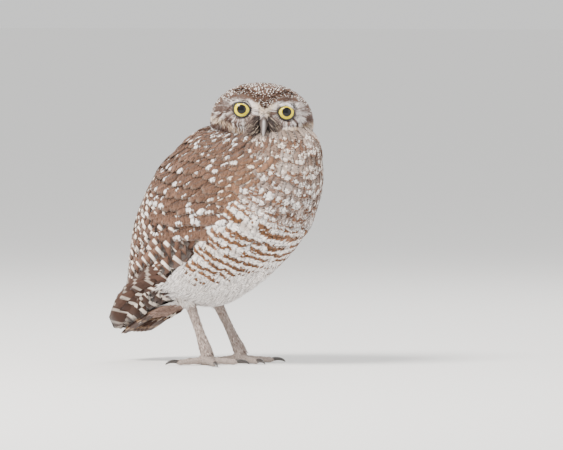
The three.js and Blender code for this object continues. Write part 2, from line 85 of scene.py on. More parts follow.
def curve_through(table, place):
    """Rows of the smooth curve that passes through a table's rows; place counts rows."""
    last = len(table) - 1
    i = np.minimum(place.astype(int), last - 1)
    f = (place - i)[..., None]
    before, start = table[np.maximum(i - 1, 0)], table[i]
    end, after = table[i + 1], table[np.minimum(i + 2, last)]
    linear = 2 * start + (end - before) * f
    square = (2 * before - 5 * start + 4 * end - after) * f**2
    cubic = (3 * start - before - 3 * end + after) * f**3
    return 0.5 * (linear + square + cubic)


def section(share):
    """The outline's section at a share of the body's length."""
    return curve_through(SECTIONS, np.clip(np.asarray(share, float), 0, 1) * (len(SECTIONS) - 1))


def body(share, turn, lift=0.0):
    """A point of the body's outline; turn is in degrees from the middle of the back
    round the owl's left, and lift is the height over the outline."""
    share, turn, lift = np.broadcast_arrays(
        np.asarray(share, float), np.asarray(turn, float) * RAD, np.asarray(lift, float)
    )
    back, up, half_width, to_back, to_front = np.moveaxis(section(share), -1, 0)
    near = 1e-3
    spine = section(np.minimum(share + near, 1)) - section(np.maximum(share - near, 0))
    along = unit(spine[..., :2])
    reach = (np.where(np.cos(turn) > 0, to_back, to_front) + lift) * np.cos(turn)
    across = (half_width + lift) * np.sin(turn)
    return np.stack([across, back - along[..., 1] * reach, up + along[..., 0] * reach], -1)


def body_normal(share, turn):
    """The outward normal of the body's outline."""
    share, turn = np.asarray(share, float), np.asarray(turn, float)
    round_it = body(share, turn + 0.5) - body(share, turn - 0.5)
    along_it = body(np.minimum(share + 2e-3, 1), turn) - body(np.maximum(share - 2e-3, 0), turn)
    normal = unit(np.cross(round_it, along_it))
    outward = body(share, turn, 1.0) - body(share, turn)
    return normal * np.where((normal * outward).sum(-1, keepdims=True) < 0, -1, 1)


# Head
# A head frame's origin is level with the eyes, its -Y the way the face looks. The solid
# head has one frame, and the looks have their own, a little off it.
SOLID_PLACE = np.array([-4.7, -25.7, 203])
HEAD_PLACE = SOLID_PLACE + np.array([0.6, -0.8, 0.7])
SOLID_TURN, FACE_TURN, HEAD_ROLL = -52 * RAD, -49.4 * RAD, 3.5 * RAD
HEAD_CENTRE = np.array([0, 3, -10.0])
HEAD_HALF_WIDTH, HEAD_ABOVE, HEAD_BELOW = 41.5, 32.5, 25.0
HEAD_AHEAD, HEAD_BEHIND, HEAD_POWER = 29.0, 33.0, 2.15
RELIEF_FADE = (-6, 12)
EYE_SPREAD, EYE_RADIUS, EYE_DEPTH = 17.6, 9.0, -14.6


def turn_z(a):
    return np.array([[math.cos(a), -math.sin(a), 0], [math.sin(a), math.cos(a), 0], [0, 0, 1]])


def turn_y(a):
    return np.array([[math.cos(a), 0, math.sin(a)], [0, 1, 0], [-math.sin(a), 0, math.cos(a)]])


HEAD_MATRIX = turn_z(FACE_TURN) @ turn_y(HEAD_ROLL)
SOLID_MATRIX = turn_z(SOLID_TURN) @ turn_y(HEAD_ROLL)


def vectors(x, y, z):
    """Vectors from their three parts, each a number or an array."""
    return np.stack(np.broadcast_arrays(x, y, z), -1)


def from_head(p):
    """Points of the dressed head's frame in the design frame."""
    return p @ HEAD_MATRIX.T + HEAD_PLACE


def turned_head(v):
    return v @ HEAD_MATRIX.T


def to_head(p):
    return (p - HEAD_PLACE) @ HEAD_MATRIX


def face_relief(x, z):
    """How far the face stands out at a place: eye dishes, bridge, brows and cheeks."""

    def bump(dx, dz, sx, sz):
        return np.exp(-((dx / sx) ** 2) - (dz / sz) ** 2)

    side = np.abs(x)
    brow_line = 5.5 + 0.32 * side
    return (
        -4.6 * bump(side - EYE_SPREAD, z, 10.5, 9.5)
        + 3.4 * bump(x, z + 2, 6, 13)
        + 2.8 * bump(side - 15, z - brow_line - 3, 13, 4.2)
        + 2.2 * bump(side - 27, z + 13, 11, 7)
    )


def head_point(direction):
    """The point of the head's outline that way from its centre, in the head's own frame."""
    d = unit(direction)
    high = np.where(d[..., 2] > 0, HEAD_ABOVE, HEAD_BELOW)
    deep = np.where(d[..., 1] < 0, HEAD_AHEAD, HEAD_BEHIND)
    radii = np.stack([np.full_like(deep, HEAD_HALF_WIDTH), deep, high], -1)
    size = (np.abs(d / radii) ** HEAD_POWER).sum(-1)
    p = d * (size ** (-1 / HEAD_POWER))[..., None] + HEAD_CENTRE
    relief = smooth(-p[..., 1], *RELIEF_FADE) * face_relief(p[..., 0], p[..., 2])
    return p - vectors(0, relief, 0)


def head_normal(direction):
    """The outward normal of the head's outline, in the head's own frame."""
    d = unit(direction)
    a = unit(np.cross(d, np.array([0.13, 0.21, 0.97])))
    b = np.cross(d, a)
    near = 0.02
    steps = [head_point(d + near * way) - head_point(d - near * way) for way in (a, b)]
    normal = unit(np.cross(*steps))
    return normal * np.sign((normal * d).sum(-1, keepdims=True))


def face_depth(x, z):
    """How far back the face's surface lies at a place across and up."""
    high = np.where(z > HEAD_CENTRE[2], HEAD_ABOVE, HEAD_BELOW)
    wide = np.abs(x / HEAD_HALF_WIDTH) ** HEAD_POWER
    tall = np.abs((z - HEAD_CENTRE[2]) / high) ** HEAD_POWER
    plain = HEAD_CENTRE[1] - HEAD_AHEAD * np.clip(1 - wide - tall, 0.01, 1) ** (1 / HEAD_POWER)
    return plain - smooth(-plain, *RELIEF_FADE) * face_relief(x, z)


# Frame of the row
MM = 0.001


def mid_box(name):
    """The middle of a node's box, in metres."""
    low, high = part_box(name)
    return (np.array(low) + np.array(high)) / 2


eye_mid = (mid_box("eye_left") + mid_box("eye_right")) / 2
design_mid = SOLID_MATRIX @ np.array([0, EYE_DEPTH, 0.0]) + SOLID_PLACE
SHIFT = eye_mid - design_mid * MM
SHIFT[2] = 0.0


def to_row(p):
    """Design millimetres as metres in the row frame."""
    return np.asarray(p, float) * MM + SHIFT


def each(value, n):
    """One number, or n of them, as n numbers."""
    return np.broadcast_to(np.asarray(value, float), (n,))


# Mesh making
def link_object(name, data):
    obj = bpy.data.objects.new(name, data)
    bpy.context.scene.collection.objects.link(obj)
    return obj


def new_object(name, verts, faces, material):
    """A smooth mesh from arrays of design points and of faces with equally many corners."""
    mesh = bpy.data.meshes.new(name)
    verts = to_row(verts).astype(np.float32)
    faces = np.asarray(faces, np.int32)
    corners = faces.shape[1]
    mesh.vertices.add(len(verts))
    mesh.vertices.foreach_set("co", verts.ravel())
    mesh.loops.add(faces.size)
    mesh.loops.foreach_set("vertex_index", faces.ravel())
    mesh.polygons.add(len(faces))
    mesh.polygons.foreach_set("loop_start", np.arange(len(faces), dtype=np.int32) * corners)
    mesh.polygons.foreach_set("loop_total", np.full(len(faces), corners, np.int32))
    mesh.polygons.foreach_set("use_smooth", np.ones(len(faces), bool))
    mesh.update(calc_edges=True)
    mesh.validate()
    mesh.materials.append(material)
    return link_object(name, mesh)


def corners_of(mesh):
    """The vertex at each corner of a mesh's faces."""
    corners = np.empty(len(mesh.loops), np.int32)
    mesh.loops.foreach_get("vertex_index", corners)
    return corners


def add_uv(mesh, name, uv):
    mesh.uv_layers.new(name=name).data.foreach_set("uv", uv.astype(np.float32).ravel())


def add_colours(mesh, name, colours):
    """Colours of the mesh's points, of three numbers or four."""
    if colours.shape[1] == 3:
        colours = np.concatenate([colours, np.ones((len(colours), 1))], 1)
    layer = mesh.attributes.new(name, "FLOAT_COLOR", "POINT")
    layer.data.foreach_set("color", colours.astype(np.float32).ravel())


def leaf_faces(m, k):
    """Quads of a closed thin leaf of m stations by k columns, its two faces sharing the rim."""
    top = np.arange(m * k).reshape(m, k)
    bottom = top.copy()
    bottom[1:-1, 1:-1] = m * k + np.arange((m - 2) * (k - 2)).reshape(m - 2, k - 2)
    faces = []
    for i in range(m - 1):
        for j in range(k - 1):
            faces.append([top[i, j], top[i, j + 1], top[i + 1, j + 1], top[i + 1, j]])
            faces.append([bottom[i, j], bottom[i + 1, j], bottom[i + 1, j + 1], bottom[i, j + 1]])
    return np.array(faces)


def along_paths(field, v):
    """Values of an (n, m, 3) field at (n, j) shares of its length, carried on past its ends."""
    last = field.shape[1] - 1
    place = v * last
    i = np.clip(np.floor(place).astype(int), 0, last - 1)
    f = (place - i)[..., None]
    before = np.take_along_axis(field, i[..., None], 1)
    after = np.take_along_axis(field, i[..., None] + 1, 1)
    return before * (1 - f) + after * f


PATCH_SIZE = 0.003
BARB_SPAN, BARB_SHIFT, BARB_STATIONS = 0.2, 0.02, 4
BARB_ROOT, BARB_ROOT_SPREAD = 0.3, 0.15
BARB_OUT, BARB_OUT_SPREAD = 0.1, 0.5
BARB_ON, BARB_ON_SPREAD = 0.3, 0.9
BARB_WIDTHS = np.array([0.8, 1.0, 0.8, 0.12])
BARB_CUP, BARB_THICK, BARB_TONES = 0.2, 0.1, 0.07


class Vanes:
    """Gathers feathers, then joins them into one mesh. Each feather is a leaf of m
    stations by k columns, with a path, its outward normals, a width, and what its
    markings need."""

    def __init__(self, name, m, k, profile, thick):
        self.name, self.m, self.k, self.thick = name, m, k, thick
        self.profile = profile
        self.parts = []

    def leaves(self, path, normal, half, cup, tilt, thick, uv_middle, uv_side, k, look):
        """Adds leaves of k columns; uv_middle and uv_side place them in the feather's map."""
        n, m = path.shape[:2]
        along = unit(np.gradient(path, axis=1))
        normal = unit(normal - (normal * along).sum(-1, keepdims=True) * along)
        side = unit(np.cross(normal, along))
        u = np.linspace(-1, 1, k)
        across = half[..., None] * u
        rise = cup[:, None, None] * half[..., None] * (1 - u**2) + np.tan(tilt)[:, None, None] * across
        top = path[:, :, None] + side[:, :, None] * across[..., None] + normal[:, :, None] * rise[..., None]
        bottom = top[:, 1:-1, 1:-1] - normal[:, 1:-1, None] * thick
        uv = uv_middle[:, :, None] + uv_side[:, :, None] * u[:, None]
        verts = np.concatenate([top.reshape(n, -1, 3), bottom.reshape(n, -1, 3)], 1)
        uv = np.concatenate([uv.reshape(n, -1, 2), uv[:, 1:-1, 1:-1].reshape(n, -1, 2)], 1)
        self.parts.append(dict(verts=verts, uv=uv, m=m, k=k, **look))
        return along, normal, side

    def add(self, path, normal, width, tone, mark, pattern, cup=0.12, tilt=0.0, fray=0):
        """path and normal are (n, m, 3); width, cup and tilt are (n,); tone and mark are
        (n, 3) colours; pattern is (n, 4); fray is the number of loose barbs on each web."""
        n = len(path)
        width, cup, tilt = (each(value, n) for value in (width, cup, tilt))
        look = dict(
            root=path[:, 0],
            tone=np.broadcast_to(np.asarray(tone, float), (n, 3)),
            mark=np.broadcast_to(np.asarray(mark, float), (n, 3)),
            pattern=np.broadcast_to(np.asarray(pattern, float), (n, 4)),
        )
        v = np.linspace(0, 1, self.m)
        half = width[:, None] * self.profile(v) / 2
        middle = np.broadcast_to(np.stack([0.5 + 0 * v, v], -1), (n, self.m, 2))
        sideways = np.broadcast_to(np.array([0.5, 0.0]), (n, self.m, 2))
        frame_of = self.leaves(
            path, normal, half, cup, tilt, self.thick, middle, sideways, self.k, look
        )
        if fray:
            self.loose_barbs(path, frame_of, width, cup, tilt, look, fray)

    def loose_barbs(self, path, frame_of, width, cup, tilt, look, count):
        """Barbs that part at both rims and the tip, in the feather's own map."""
        along, normal, side = frame_of
        n = len(path)
        length = np.linalg.norm(np.diff(path, axis=1), axis=-1).sum(1)

        def place(share, reach, raised):
            """Points at a share of the length, where reach runs from -1 to 1 across it."""
            wide = width[:, None] * self.profile(np.clip(share, 0, 1)) / 2
            lift = cup[:, None] * wide * (1 - reach**2) + np.tan(tilt)[:, None] * wide * reach
            out = along_paths(side, share) * (wide * reach)[..., None]
            up = along_paths(normal, share) * (lift + raised)[..., None]
            return along_paths(path, share) + out + up

        s = np.linspace(0, 1, BARB_STATIONS)
        for web in (-1.0, 1.0):
            end = np.linspace(0.4, 1.0, count) + rng.normal(0, BARB_SHIFT, (n, count))
            end = np.minimum(end, 1.0)
            start = end - BARB_SPAN
            inner = BARB_ROOT + BARB_ROOT_SPREAD * rng.random((n, count))
            loose = rng.random((n, count))
            out, on = BARB_OUT + BARB_OUT_SPREAD * loose, BARB_ON + BARB_ON_SPREAD * loose
            first = place(start, web * inner, 0.1)
            last = place(end, web + 0 * end, 0.05)
            last = last + along_paths(side, end) * (web * out)[..., None]
            last = last + along_paths(along, end) * on[..., None]
            line = first[:, :, None] * (1 - s)[:, None] + last[:, :, None] * s[:, None]
            bulge = along_paths(normal, end)[:, :, None] * (0.25 * s * (1 - s))[:, None]
            line = (line + bulge).reshape(n * count, BARB_STATIONS, 3)
            faces_up = np.repeat(along_paths(normal, end).reshape(-1, 1, 3), BARB_STATIONS, 1)
            half = np.repeat(0.75 * length / count, count)[:, None] * BARB_WIDTHS
            u = web * (inner.reshape(-1, 1) * (1 - s) + 0.97 * s)
            v = start.reshape(-1, 1) * (1 - s) + end.reshape(-1, 1) * s
            uv = np.stack([0.5 + 0.5 * u, v], -1)
            uv_side = np.broadcast_to(np.array([0.0, 0.25 / count]), uv.shape)
            own = {key: np.repeat(value, count, 0) for key, value in look.items()}
            shade = np.exp(rng.normal(0, BARB_TONES, (n * count, 1)))
            own.update(tone=own["tone"] * shade, mark=own["mark"] * shade)
            level = np.zeros(n * count)
            self.leaves(line, faces_up, half, level + BARB_CUP, level, BARB_THICK, uv, uv_side, 3, own)

    def build(self, material, bake_uv):
        """Joins the leaves into one object, with their own map, the bake map and colours."""
        verts, faces, uvs, owners, start = [], [], [], [], 0
        colours = {"tone": [], "mark": [], "pattern": []}
        for part in self.parts:
            n, per = part["verts"].shape[:2]
            verts.append(part["verts"].reshape(-1, 3))
            first = start + np.arange(n)[:, None, None] * per
            faces.append((leaf_faces(part["m"], part["k"])[None] + first).reshape(-1, 4))
            uvs.append(part["uv"].reshape(-1, 2))
            owners.append(np.repeat(bake_uv(part["root"]), per, 0))
            for key in colours:
                colours[key].append(np.repeat(part[key], per, 0))
            start += n * per
        obj = new_object(self.name, np.concatenate(verts), np.concatenate(faces), material)
        mesh = obj.data
        corners = corners_of(mesh)
        uv = np.concatenate(uvs)[corners]
        add_uv(mesh, "vane", uv)
        add_uv(mesh, "OFBake", np.concatenate(owners)[corners] + (uv - 0.5) * PATCH_SIZE)
        for key, values in colours.items():
            add_colours(mesh, key, np.concatenate(values))
        mesh.uv_layers["OFBake"].active_render = True
        mesh.uv_layers.active = mesh.uv_layers["OFBake"]
        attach(obj, "root")
        return obj


def blunt_profile(v, root, growth, shoulder, rounding, power, least):
    """Width along a vane that grows from its root and rounds off past its shoulder."""
    past = np.clip((v - shoulder) / rounding, 0, 1)
    return np.clip(root + growth * v, 0, 1) * np.sqrt(np.clip(1 - past**power, least, 1))


def feather_profile(v):
    """A contour feather: quick to grow, widest near the end, with a rounded tip."""
    return blunt_profile(v, 0.5, 1.5, 0.6, 0.42, 2.2, 0.02)


def flight_profile(v):
    """A flight feather: nearly as wide at its tip as anywhere."""
    return blunt_profile(v, 0.55, 1.2, 0.82, 0.19, 2, 0.03)


def tuft_profile(v):
    """A loose tuft, which narrows to a point."""
    return np.clip(0.6 + 0.9 * v, 0, 1) * np.clip(1.25 * (1 - v**1.8), 0.05, 1)


# Bake maps
def inside_map(a, b, margin=0.05):
    """Two shares of a map's sides, kept off its border."""
    return np.stack([margin + (1 - 2 * margin) * side for side in (a, b)], -1)


def body_map(p):
    """Unwrap of the body round its own long axis, from head to tail."""
    from_middle = p - np.array([0, 5.0, 110])
    axis = unit(np.array([0, 105.0, -150]))
    up = unit(np.array([0, 150.0, 105]))
    turn = np.arctan2(from_middle[..., 0], (from_middle * up).sum(-1))
    along = (from_middle * axis).sum(-1)
    return inside_map(turn / (2 * np.pi) + 0.5, np.clip((along + 150) / 300, 0, 1), 0.02)


def side_map(p):
    """Unwrap of one folded wing or the tail, laid flat along its length."""
    return inside_map(np.clip((p[..., 1] + 60) / 190, 0, 1), np.clip(p[..., 2] / 200, 0, 1))


def head_map(p):
    """Unwrap of the head by turn and height, seen from its centre."""
    x, y, z = np.moveaxis(to_head(p) - HEAD_CENTRE, -1, 0)
    turn, rise = np.arctan2(x, -y), np.arctan2(z, np.hypot(x, y))
    return inside_map(turn / (2 * np.pi) + 0.5, rise / np.pi + 0.5, 0.02)


def leg_map(p):
    """Both legs laid flat, seen from the front."""
    return inside_map(np.clip((p[..., 0] + 40) / 80, 0, 1), np.clip(p[..., 2] / 90, 0, 1))


# Colours
def srgb(r, g, b):
    """A screen colour in 0 to 255 as linear light."""
    c = np.array([r, g, b], float) / 255
    return np.where(c <= 0.04045, c / 12.92, ((c + 0.055) / 1.055) ** 2.4)


BROWN = srgb(104, 76, 62)
BROWN_DARK = srgb(74, 52, 43)
BROWN_WARM = srgb(124, 90, 68)
OCHRE = srgb(112, 75, 47)
WHITE = srgb(247, 242, 240)
CREAM = srgb(236, 214, 190)
BUFF = srgb(198, 164, 130)
ROSY = srgb(158, 128, 114)


def vary(colour, n, amount):
    """Feather to feather variation of a colour in brightness."""
    return np.asarray(colour) * np.exp(rng.normal(0, amount, (n, 1)))


def mix(a, b, w):
    """Colours between a and b, where w is 0 for a and 1 for b."""
    w = np.asarray(w, float)[..., None]
    return np.asarray(a) * (1 - w) + np.asarray(b) * w


# Materials
class Nodes:
    """A material's node tree, with short names for what the materials here add to it."""

    def __init__(self, name):
        self.material = bpy.data.materials.new(name)
        self.material.use_nodes = True
        self.tree = self.material.node_tree
        self.shader = self.tree.nodes["Principled BSDF"]

    def node(self, kind, **inputs):
        node = self.tree.nodes.new(kind)
        for key, value in inputs.items():
            self.put(value, node.inputs[key])
        return node

    def put(self, value, socket):
        if isinstance(value, bpy.types.NodeSocket):
            self.tree.links.new(value, socket)
        else:
            socket.default_value = value

    def math(self, operation, a, b=0.0, c=0.0):
        node = self.tree.nodes.new("ShaderNodeMath")
        node.operation = operation
        for socket, value in zip(node.inputs, (a, b, c)):
            self.put(value, socket)
        return node.outputs[0]

    def times(self, a, b):
        return self.math("MULTIPLY", a, b)

    def plus(self, a, b):
        return self.math("ADD", a, b)

    def minus(self, a, b):
        return self.math("SUBTRACT", a, b)

    def over(self, a, b):
        return self.math("DIVIDE", a, b)

    def line(self, a, slope, start):
        return self.math("MULTIPLY_ADD", a, slope, start)

    def length(self, a, b):
        return self.math("SQRT", self.plus(self.times(a, a), self.times(b, b)))

    def noise(self, scale, detail, vector=None):
        node = self.node("ShaderNodeTexNoise", Scale=scale, Detail=detail)
        if vector is not None:
            self.put(vector, node.inputs["Vector"])
        return node.outputs["Fac"]

    def place_in(self, uv_name):
        """The two numbers of a UV map."""
        node = self.tree.nodes.new("ShaderNodeUVMap")
        node.uv_map = uv_name
        split = self.node("ShaderNodeSeparateXYZ", Vector=node.outputs[0])
        return split.outputs[0], split.outputs[1]

    def vector(self, x, y, z):
        return self.node("ShaderNodeCombineXYZ", X=x, Y=y, Z=z).outputs[0]

    def shaded(self, colour, shade):
        """A colour times one number."""
        value = self.node("ShaderNodeCombineColor", Red=shade, Green=shade, Blue=shade)
        return self.blend(1.0, colour, value.outputs[0], "MULTIPLY")

    def gloss(self, coat, coat_roughness):
        self.put(coat, self.shader.inputs["Coat Weight"])
        self.put(coat_roughness, self.shader.inputs["Coat Roughness"])

    def ramp(self, value, low, high, to_low=0.0, to_high=1.0):
        node = self.tree.nodes.new("ShaderNodeMapRange")
        node.interpolation_type = "SMOOTHSTEP"
        for socket, v in zip(node.inputs, (value, low, high, to_low, to_high)):
            self.put(v, socket)
        return node.outputs[0]

    def blend(self, factor, a, b, kind="MIX"):
        node = self.tree.nodes.new("ShaderNodeMix")
        node.data_type = "RGBA"
        node.blend_type = kind
        self.put(factor, node.inputs[0])
        self.put(a, node.inputs[6])
        self.put(b, node.inputs[7])
        return node.outputs[2]

    def attribute(self, name, output="Color"):
        node = self.tree.nodes.new("ShaderNodeAttribute")
        node.attribute_name = name
        return node.outputs[output]

    def finish(self, colour, roughness=0.8, bump=None, bump_strength=0.3, bump_distance=0.0004):
        self.put(colour, self.shader.inputs["Base Color"])
        self.put(roughness, self.shader.inputs["Roughness"])
        if bump is not None:
            node = self.tree.nodes.new("ShaderNodeBump")
            node.inputs["Strength"].default_value = bump_strength
            node.inputs["Distance"].default_value = bump_distance
            self.put(bump, node.inputs["Height"])
            self.put(node.outputs[0], self.shader.inputs["Normal"])
        return self.material


BARBS, BARB_SLANT = 34, -0.4
SHAFT_BROWN = (0.03, 0.018, 0.012, 1)
HALO_BROWN = (0.07, 0.038, 0.026, 1)
RIM_BUFF = (0.46, 0.33, 0.24, 1)


def feather_tools(name):
    """The start of a feather material: its own map, its chance number, fine barbs that
    run forward and out from the shaft, and a soft grain that follows them."""
    t = Nodes(name)
    across, t.v = t.place_in("vane")
    t.u = t.line(across, 2.0, -1.0)
    t.away = t.math("ABSOLUTE", t.u)
    parts = t.node("ShaderNodeSeparateColor", Color=t.attribute("pattern"))
    t.first, t.second, t.third = parts.outputs[0], parts.outputs[1], parts.outputs[2]
    t.chance = t.attribute("pattern", "Alpha")
    slant = t.line(t.away, BARB_SLANT, t.v)
    grain_place = t.vector(t.times(t.u, 1.3), t.times(slant, 24.0), t.times(t.chance, 60.0))
    t.grain = t.noise(1.0, 3.0, grain_place)
    t.ragged = t.line(t.grain, 0.5, -0.25)
    t.barb = t.math("SINE", t.times(slant, 2 * math.pi * BARBS))
    return t


def feather_finish(t, colour, depth=0.7, shaft=0.35):
    """Shaft line, barb streaks and a painted shade that darkens the root to depth, over a feather's colour.
    """
    shaft_line = t.times(t.ramp(t.away, 0.02, 0.13, 1.0, 0.0), shaft)
    colour = t.blend(shaft_line, colour, t.blend(0.5, colour, SHAFT_BROWN))
    shade = t.times(t.ramp(t.grain, 0.3, 0.7, 0.78, 1.16), t.line(t.barb, 0.05, 1.0))
    # painted shade: each feather grows darker towards its root
    shade = t.times(shade, t.ramp(t.v, 0.0, 0.5, depth, 1.0))
    t.put(0.12, t.shader.inputs["Sheen Weight"])
    t.put(0.5, t.shader.inputs["Sheen Roughness"])
    t.put(0.2, t.shader.inputs["Specular IOR Level"])
    return t.finish(t.shaded(colour, shade), roughness=0.85, bump=t.grain, bump_distance=0.0003)


def spotted_material():
    """Contour feathers: one pale teardrop near the tip, or a pair where the first number
    passes 1. The second is how much the colour fades to buff at the rim, the third how
    slim the spot is."""
    t = feather_tools("spotted_feathers")
    pair = t.math("GREATER_THAN", t.first, 1.0)
    size = t.minus(t.first, pair)
    single_x = t.minus(t.u, t.line(t.chance, 0.6, -0.3))
    pair_x = t.minus(t.away, 0.52)
    x = t.plus(single_x, t.times(pair, t.minus(pair_x, single_x)))
    half = t.line(t.third, -0.36, t.line(pair, -0.12, 0.52))
    x = t.over(x, t.times(half, t.line(t.v, 1.6, -0.2)))
    y = t.over(t.minus(t.v, t.line(t.chance, 0.05, 0.79)), 0.21)
    distance = t.plus(t.length(x, y), t.ragged)
    spot = t.ramp(t.minus(size, distance), -0.1, 0.14)
    halo = t.ramp(t.minus(distance, size), 0.0, 0.7, 0.45, 0.0)
    halo = t.times(halo, t.ramp(size, 0.05, 0.3))
    side_rim = t.times(t.ramp(t.away, 0.7, 1.0), t.ramp(t.v, 0.3, 0.7))
    rim = t.math("MAXIMUM", t.ramp(t.v, 0.82, 1.0), side_rim)
    colour = t.blend(halo, t.attribute("tone"), HALO_BROWN)
    colour = t.blend(t.times(rim, t.second), colour, RIM_BUFF)
    return feather_finish(t, t.blend(spot, colour, t.attribute("mark")))


def quill_material():
    """Flight and tail feathers: rows of pale spots on the outer web, whose side the first
    number gives as 0 or 1, and buff bars on the inner web. The second is the number of
    rows, the third how strong the bars still are on the outer web."""
    t = feather_tools("quills")
    outer = t.times(t.u, t.line(t.first, 2.0, -1.0))
    row = t.math("FRACT", t.line(t.v, t.second, t.times(t.chance, 0.12)))
    from_row = t.minus(row, 0.5)
    x = t.over(t.minus(outer, 0.7), 0.25)
    y = t.over(from_row, 0.18)
    spot = t.ramp(t.plus(t.length(x, y), t.ragged), 0.85, 1.15, 1.0, 0.0)
    bar = t.ramp(t.math("ABSOLUTE", from_row), 0.06, 0.16, 0.45, 0.0)
    bar = t.times(bar, t.ramp(outer, -0.25, -0.1, 1.0, t.third))
    marked = t.times(t.math("MAXIMUM", spot, bar), t.ramp(t.v, 0.93, 0.98, 1.0, 0.0))
    marked = t.math("MAXIMUM", marked, t.ramp(t.v, 0.975, 1.0, 0.0, 0.6))
    colour = t.blend(marked, t.attribute("tone"), t.attribute("mark"))
    return feather_finish(t, colour, depth=0.85, shaft=0.5)


def breast_material():
    """Breast feathers: white with one brown bar that follows the tip, or, as the third
    number grows, a white blob with a brown border. The first is the bar's strength, the
    second the blob's size."""
    t = feather_tools("breast_feathers")
    curve = t.plus(t.line(t.times(t.u, t.u), 0.13, t.v), t.times(t.ragged, 0.16))
    off = t.math("ABSOLUTE", t.minus(curve, 0.83))
    bar = t.times(t.ramp(off, 0.07, 0.14, 1.0, 0.0), t.first)
    x = t.over(t.u, 0.72)
    y = t.over(t.minus(t.v, 0.74), 0.19)
    distance = t.plus(t.length(x, y), t.times(t.ragged, 1.5))
    border = t.ramp(t.minus(distance, t.times(t.second, 0.4)), 0.42, 0.66)
    mask = t.plus(bar, t.times(t.third, t.minus(border, bar)))
    colour = t.blend(mask, t.attribute("tone"), t.attribute("mark"))
    return feather_finish(t, colour, depth=0.8, shaft=0.12)


def unmarked_material(name, depth):
    """Feathers of one colour each, whose roots get a painted shade that darkens them to that depth."""
    t = feather_tools(name)
    return feather_finish(t, t.attribute("tone"), depth=depth, shaft=0.0)


# each feather material darkens its roots with a painted shade, to its depth value
spotted = spotted_material()
quilled = quill_material()
barred = breast_material()
down = unmarked_material("down", 0.9)
facial = unmarked_material("facial_feathers", 0.75)


# Laying feathers on the body
def path_on_body(root, tip, m):
    """Paths over the outline from root to tip, each (share, turn, lift), with their
    normals."""
    v = np.linspace(0, 1, m)
    share, turn, lift = (
        start[:, None] * (1 - v) + end[:, None] * v for start, end in zip(root, tip)
    )
    return body(share, turn, lift), body_normal(share, turn)


def share_step(share, turn, length):
    """How much of the body's length a feather of that length covers, in four steps."""
    near, steps, least = 0.004, 4, 90
    start = share
    for _ in range(steps):
        moved = body(share + near, turn) - body(share, turn)
        speed = np.linalg.norm(moved, axis=-1) / near
        share = share + length / steps / np.maximum(speed, least)
    return share - start


def turn_step(share, spacing, depth):
    """Degrees of turn between feathers that far apart round the back or the breast."""
    q = section(share)
    return spacing / ((q[HALF_WIDTH] + q[depth]) / 2) / RAD


def look_numbers(first, second, third, n):
    """The four numbers of each feather's markings; the last is its own chance number."""
    columns = [each(value, n) for value in (first, second, third)]
    return np.stack(columns + [rng.random(n)], -1)


def lay(vanes, share, turn, length, width, lift, rise, tone, mark, pattern, cup, fray=0):
    """Feathers that lie along the body from (share, turn)."""
    n = len(share)
    length = each(length, n) * (1 + rng.normal(0, 0.06, n))
    tip_share = np.minimum(share + share_step(share, turn, length), 1.02)
    tip_turn = turn + rng.normal(0, 1.6, n)
    root_lift = lift + rng.normal(0, 0.1, n)
    tip_lift = lift + rise + rng.normal(0, 0.2, n)
    path, normal = path_on_body((share, turn, root_lift), (tip_share, tip_turn, tip_lift), vanes.m)
    vanes.add(path, normal, width, tone, mark, pattern, cup=cup, fray=fray)


# Wings
PRIMARIES, SECONDARIES, PRIMARY_COVERTS, COVERTS = 10, 13, 6, 15
COVERT_ROWS = (0.475, 0.432, 0.392, 0.352, 0.315, 0.28, 0.247, 0.216, 0.187)


def tier(vanes, side, root, tip, width, lift, rise, tone, mark, pattern, fray, tilt=10, jitter=0.6):
    """One row of wing feathers. root and tip give the (share, turn) of each, with the
    turn measured from the middle of the back towards the breast."""
    n = len(root[1])
    tip_share = tip[0] + rng.normal(0, 0.004, n)
    tip_turn = tip[1] + rng.normal(0, jitter, n)
    root_lift = lift + 0.03 * np.arange(n)
    tip_lift = root_lift + rise + rng.normal(0, 0.12, n)
    path, normal = path_on_body(
        (each(root[0], n), side * root[1], root_lift), (tip_share, side * tip_turn, tip_lift), vanes.m
    )
    wide = width * (1 + rng.normal(0, 0.04, n))
    vanes.add(path, normal, wide, tone, mark, pattern, cup=0.16, tilt=-side * tilt * RAD, fray=fray)


def wing_quills(side, name):
    """Primaries, secondaries over them, and the primary coverts on the front border."""
    quills = Vanes(f"wing_{name}_quills", 14, 7, flight_profile, 0.4)
    outer_web = 1.0 if side < 0 else 0.0
    n = PRIMARIES
    i = np.arange(n)
    tier(
        quills, side, (0.43 - 0.005 * i, 111 + 1.8 * i), (0.87 + 0.0145 * i, 62 + 5.4 * i),
        width=13, lift=-4.9, rise=1.6, tone=vary(BROWN_DARK, n, 0.06),
        mark=vary(mix(WHITE, CREAM, 0.6), n, 0.05), pattern=look_numbers(outer_web, 10.0, 0.0, n), fray=10,
    )
    n = SECONDARIES
    i = np.arange(n)
    tier(
        quills, side, (0.43 - 0.004 * i, 117 - 7.2 * i), (0.85 - 0.010 * i, 61 - 3.9 * i),
        width=15, lift=-3.1, rise=1.2, tone=vary(BROWN, n, 0.08),
        mark=vary(mix(WHITE, CREAM, 0.5), n, 0.05), pattern=look_numbers(outer_web, 10.0, 0.1, n), fray=10,
    )
    n = PRIMARY_COVERTS
    i = np.arange(n)
    tier(
        quills, side, (0.30, 121 + 1.2 * i), (0.54 - 0.035 * i, 119 + 1.5 * i),
        width=9.5, lift=-2.6, rise=1.3, tone=vary(BROWN_DARK, n, 0.06),
        mark=vary(CREAM, n, 0.04), pattern=look_numbers(outer_web, 3.0, 0.0, n), fray=8,
    )
    return quills.build(quilled, side_map)


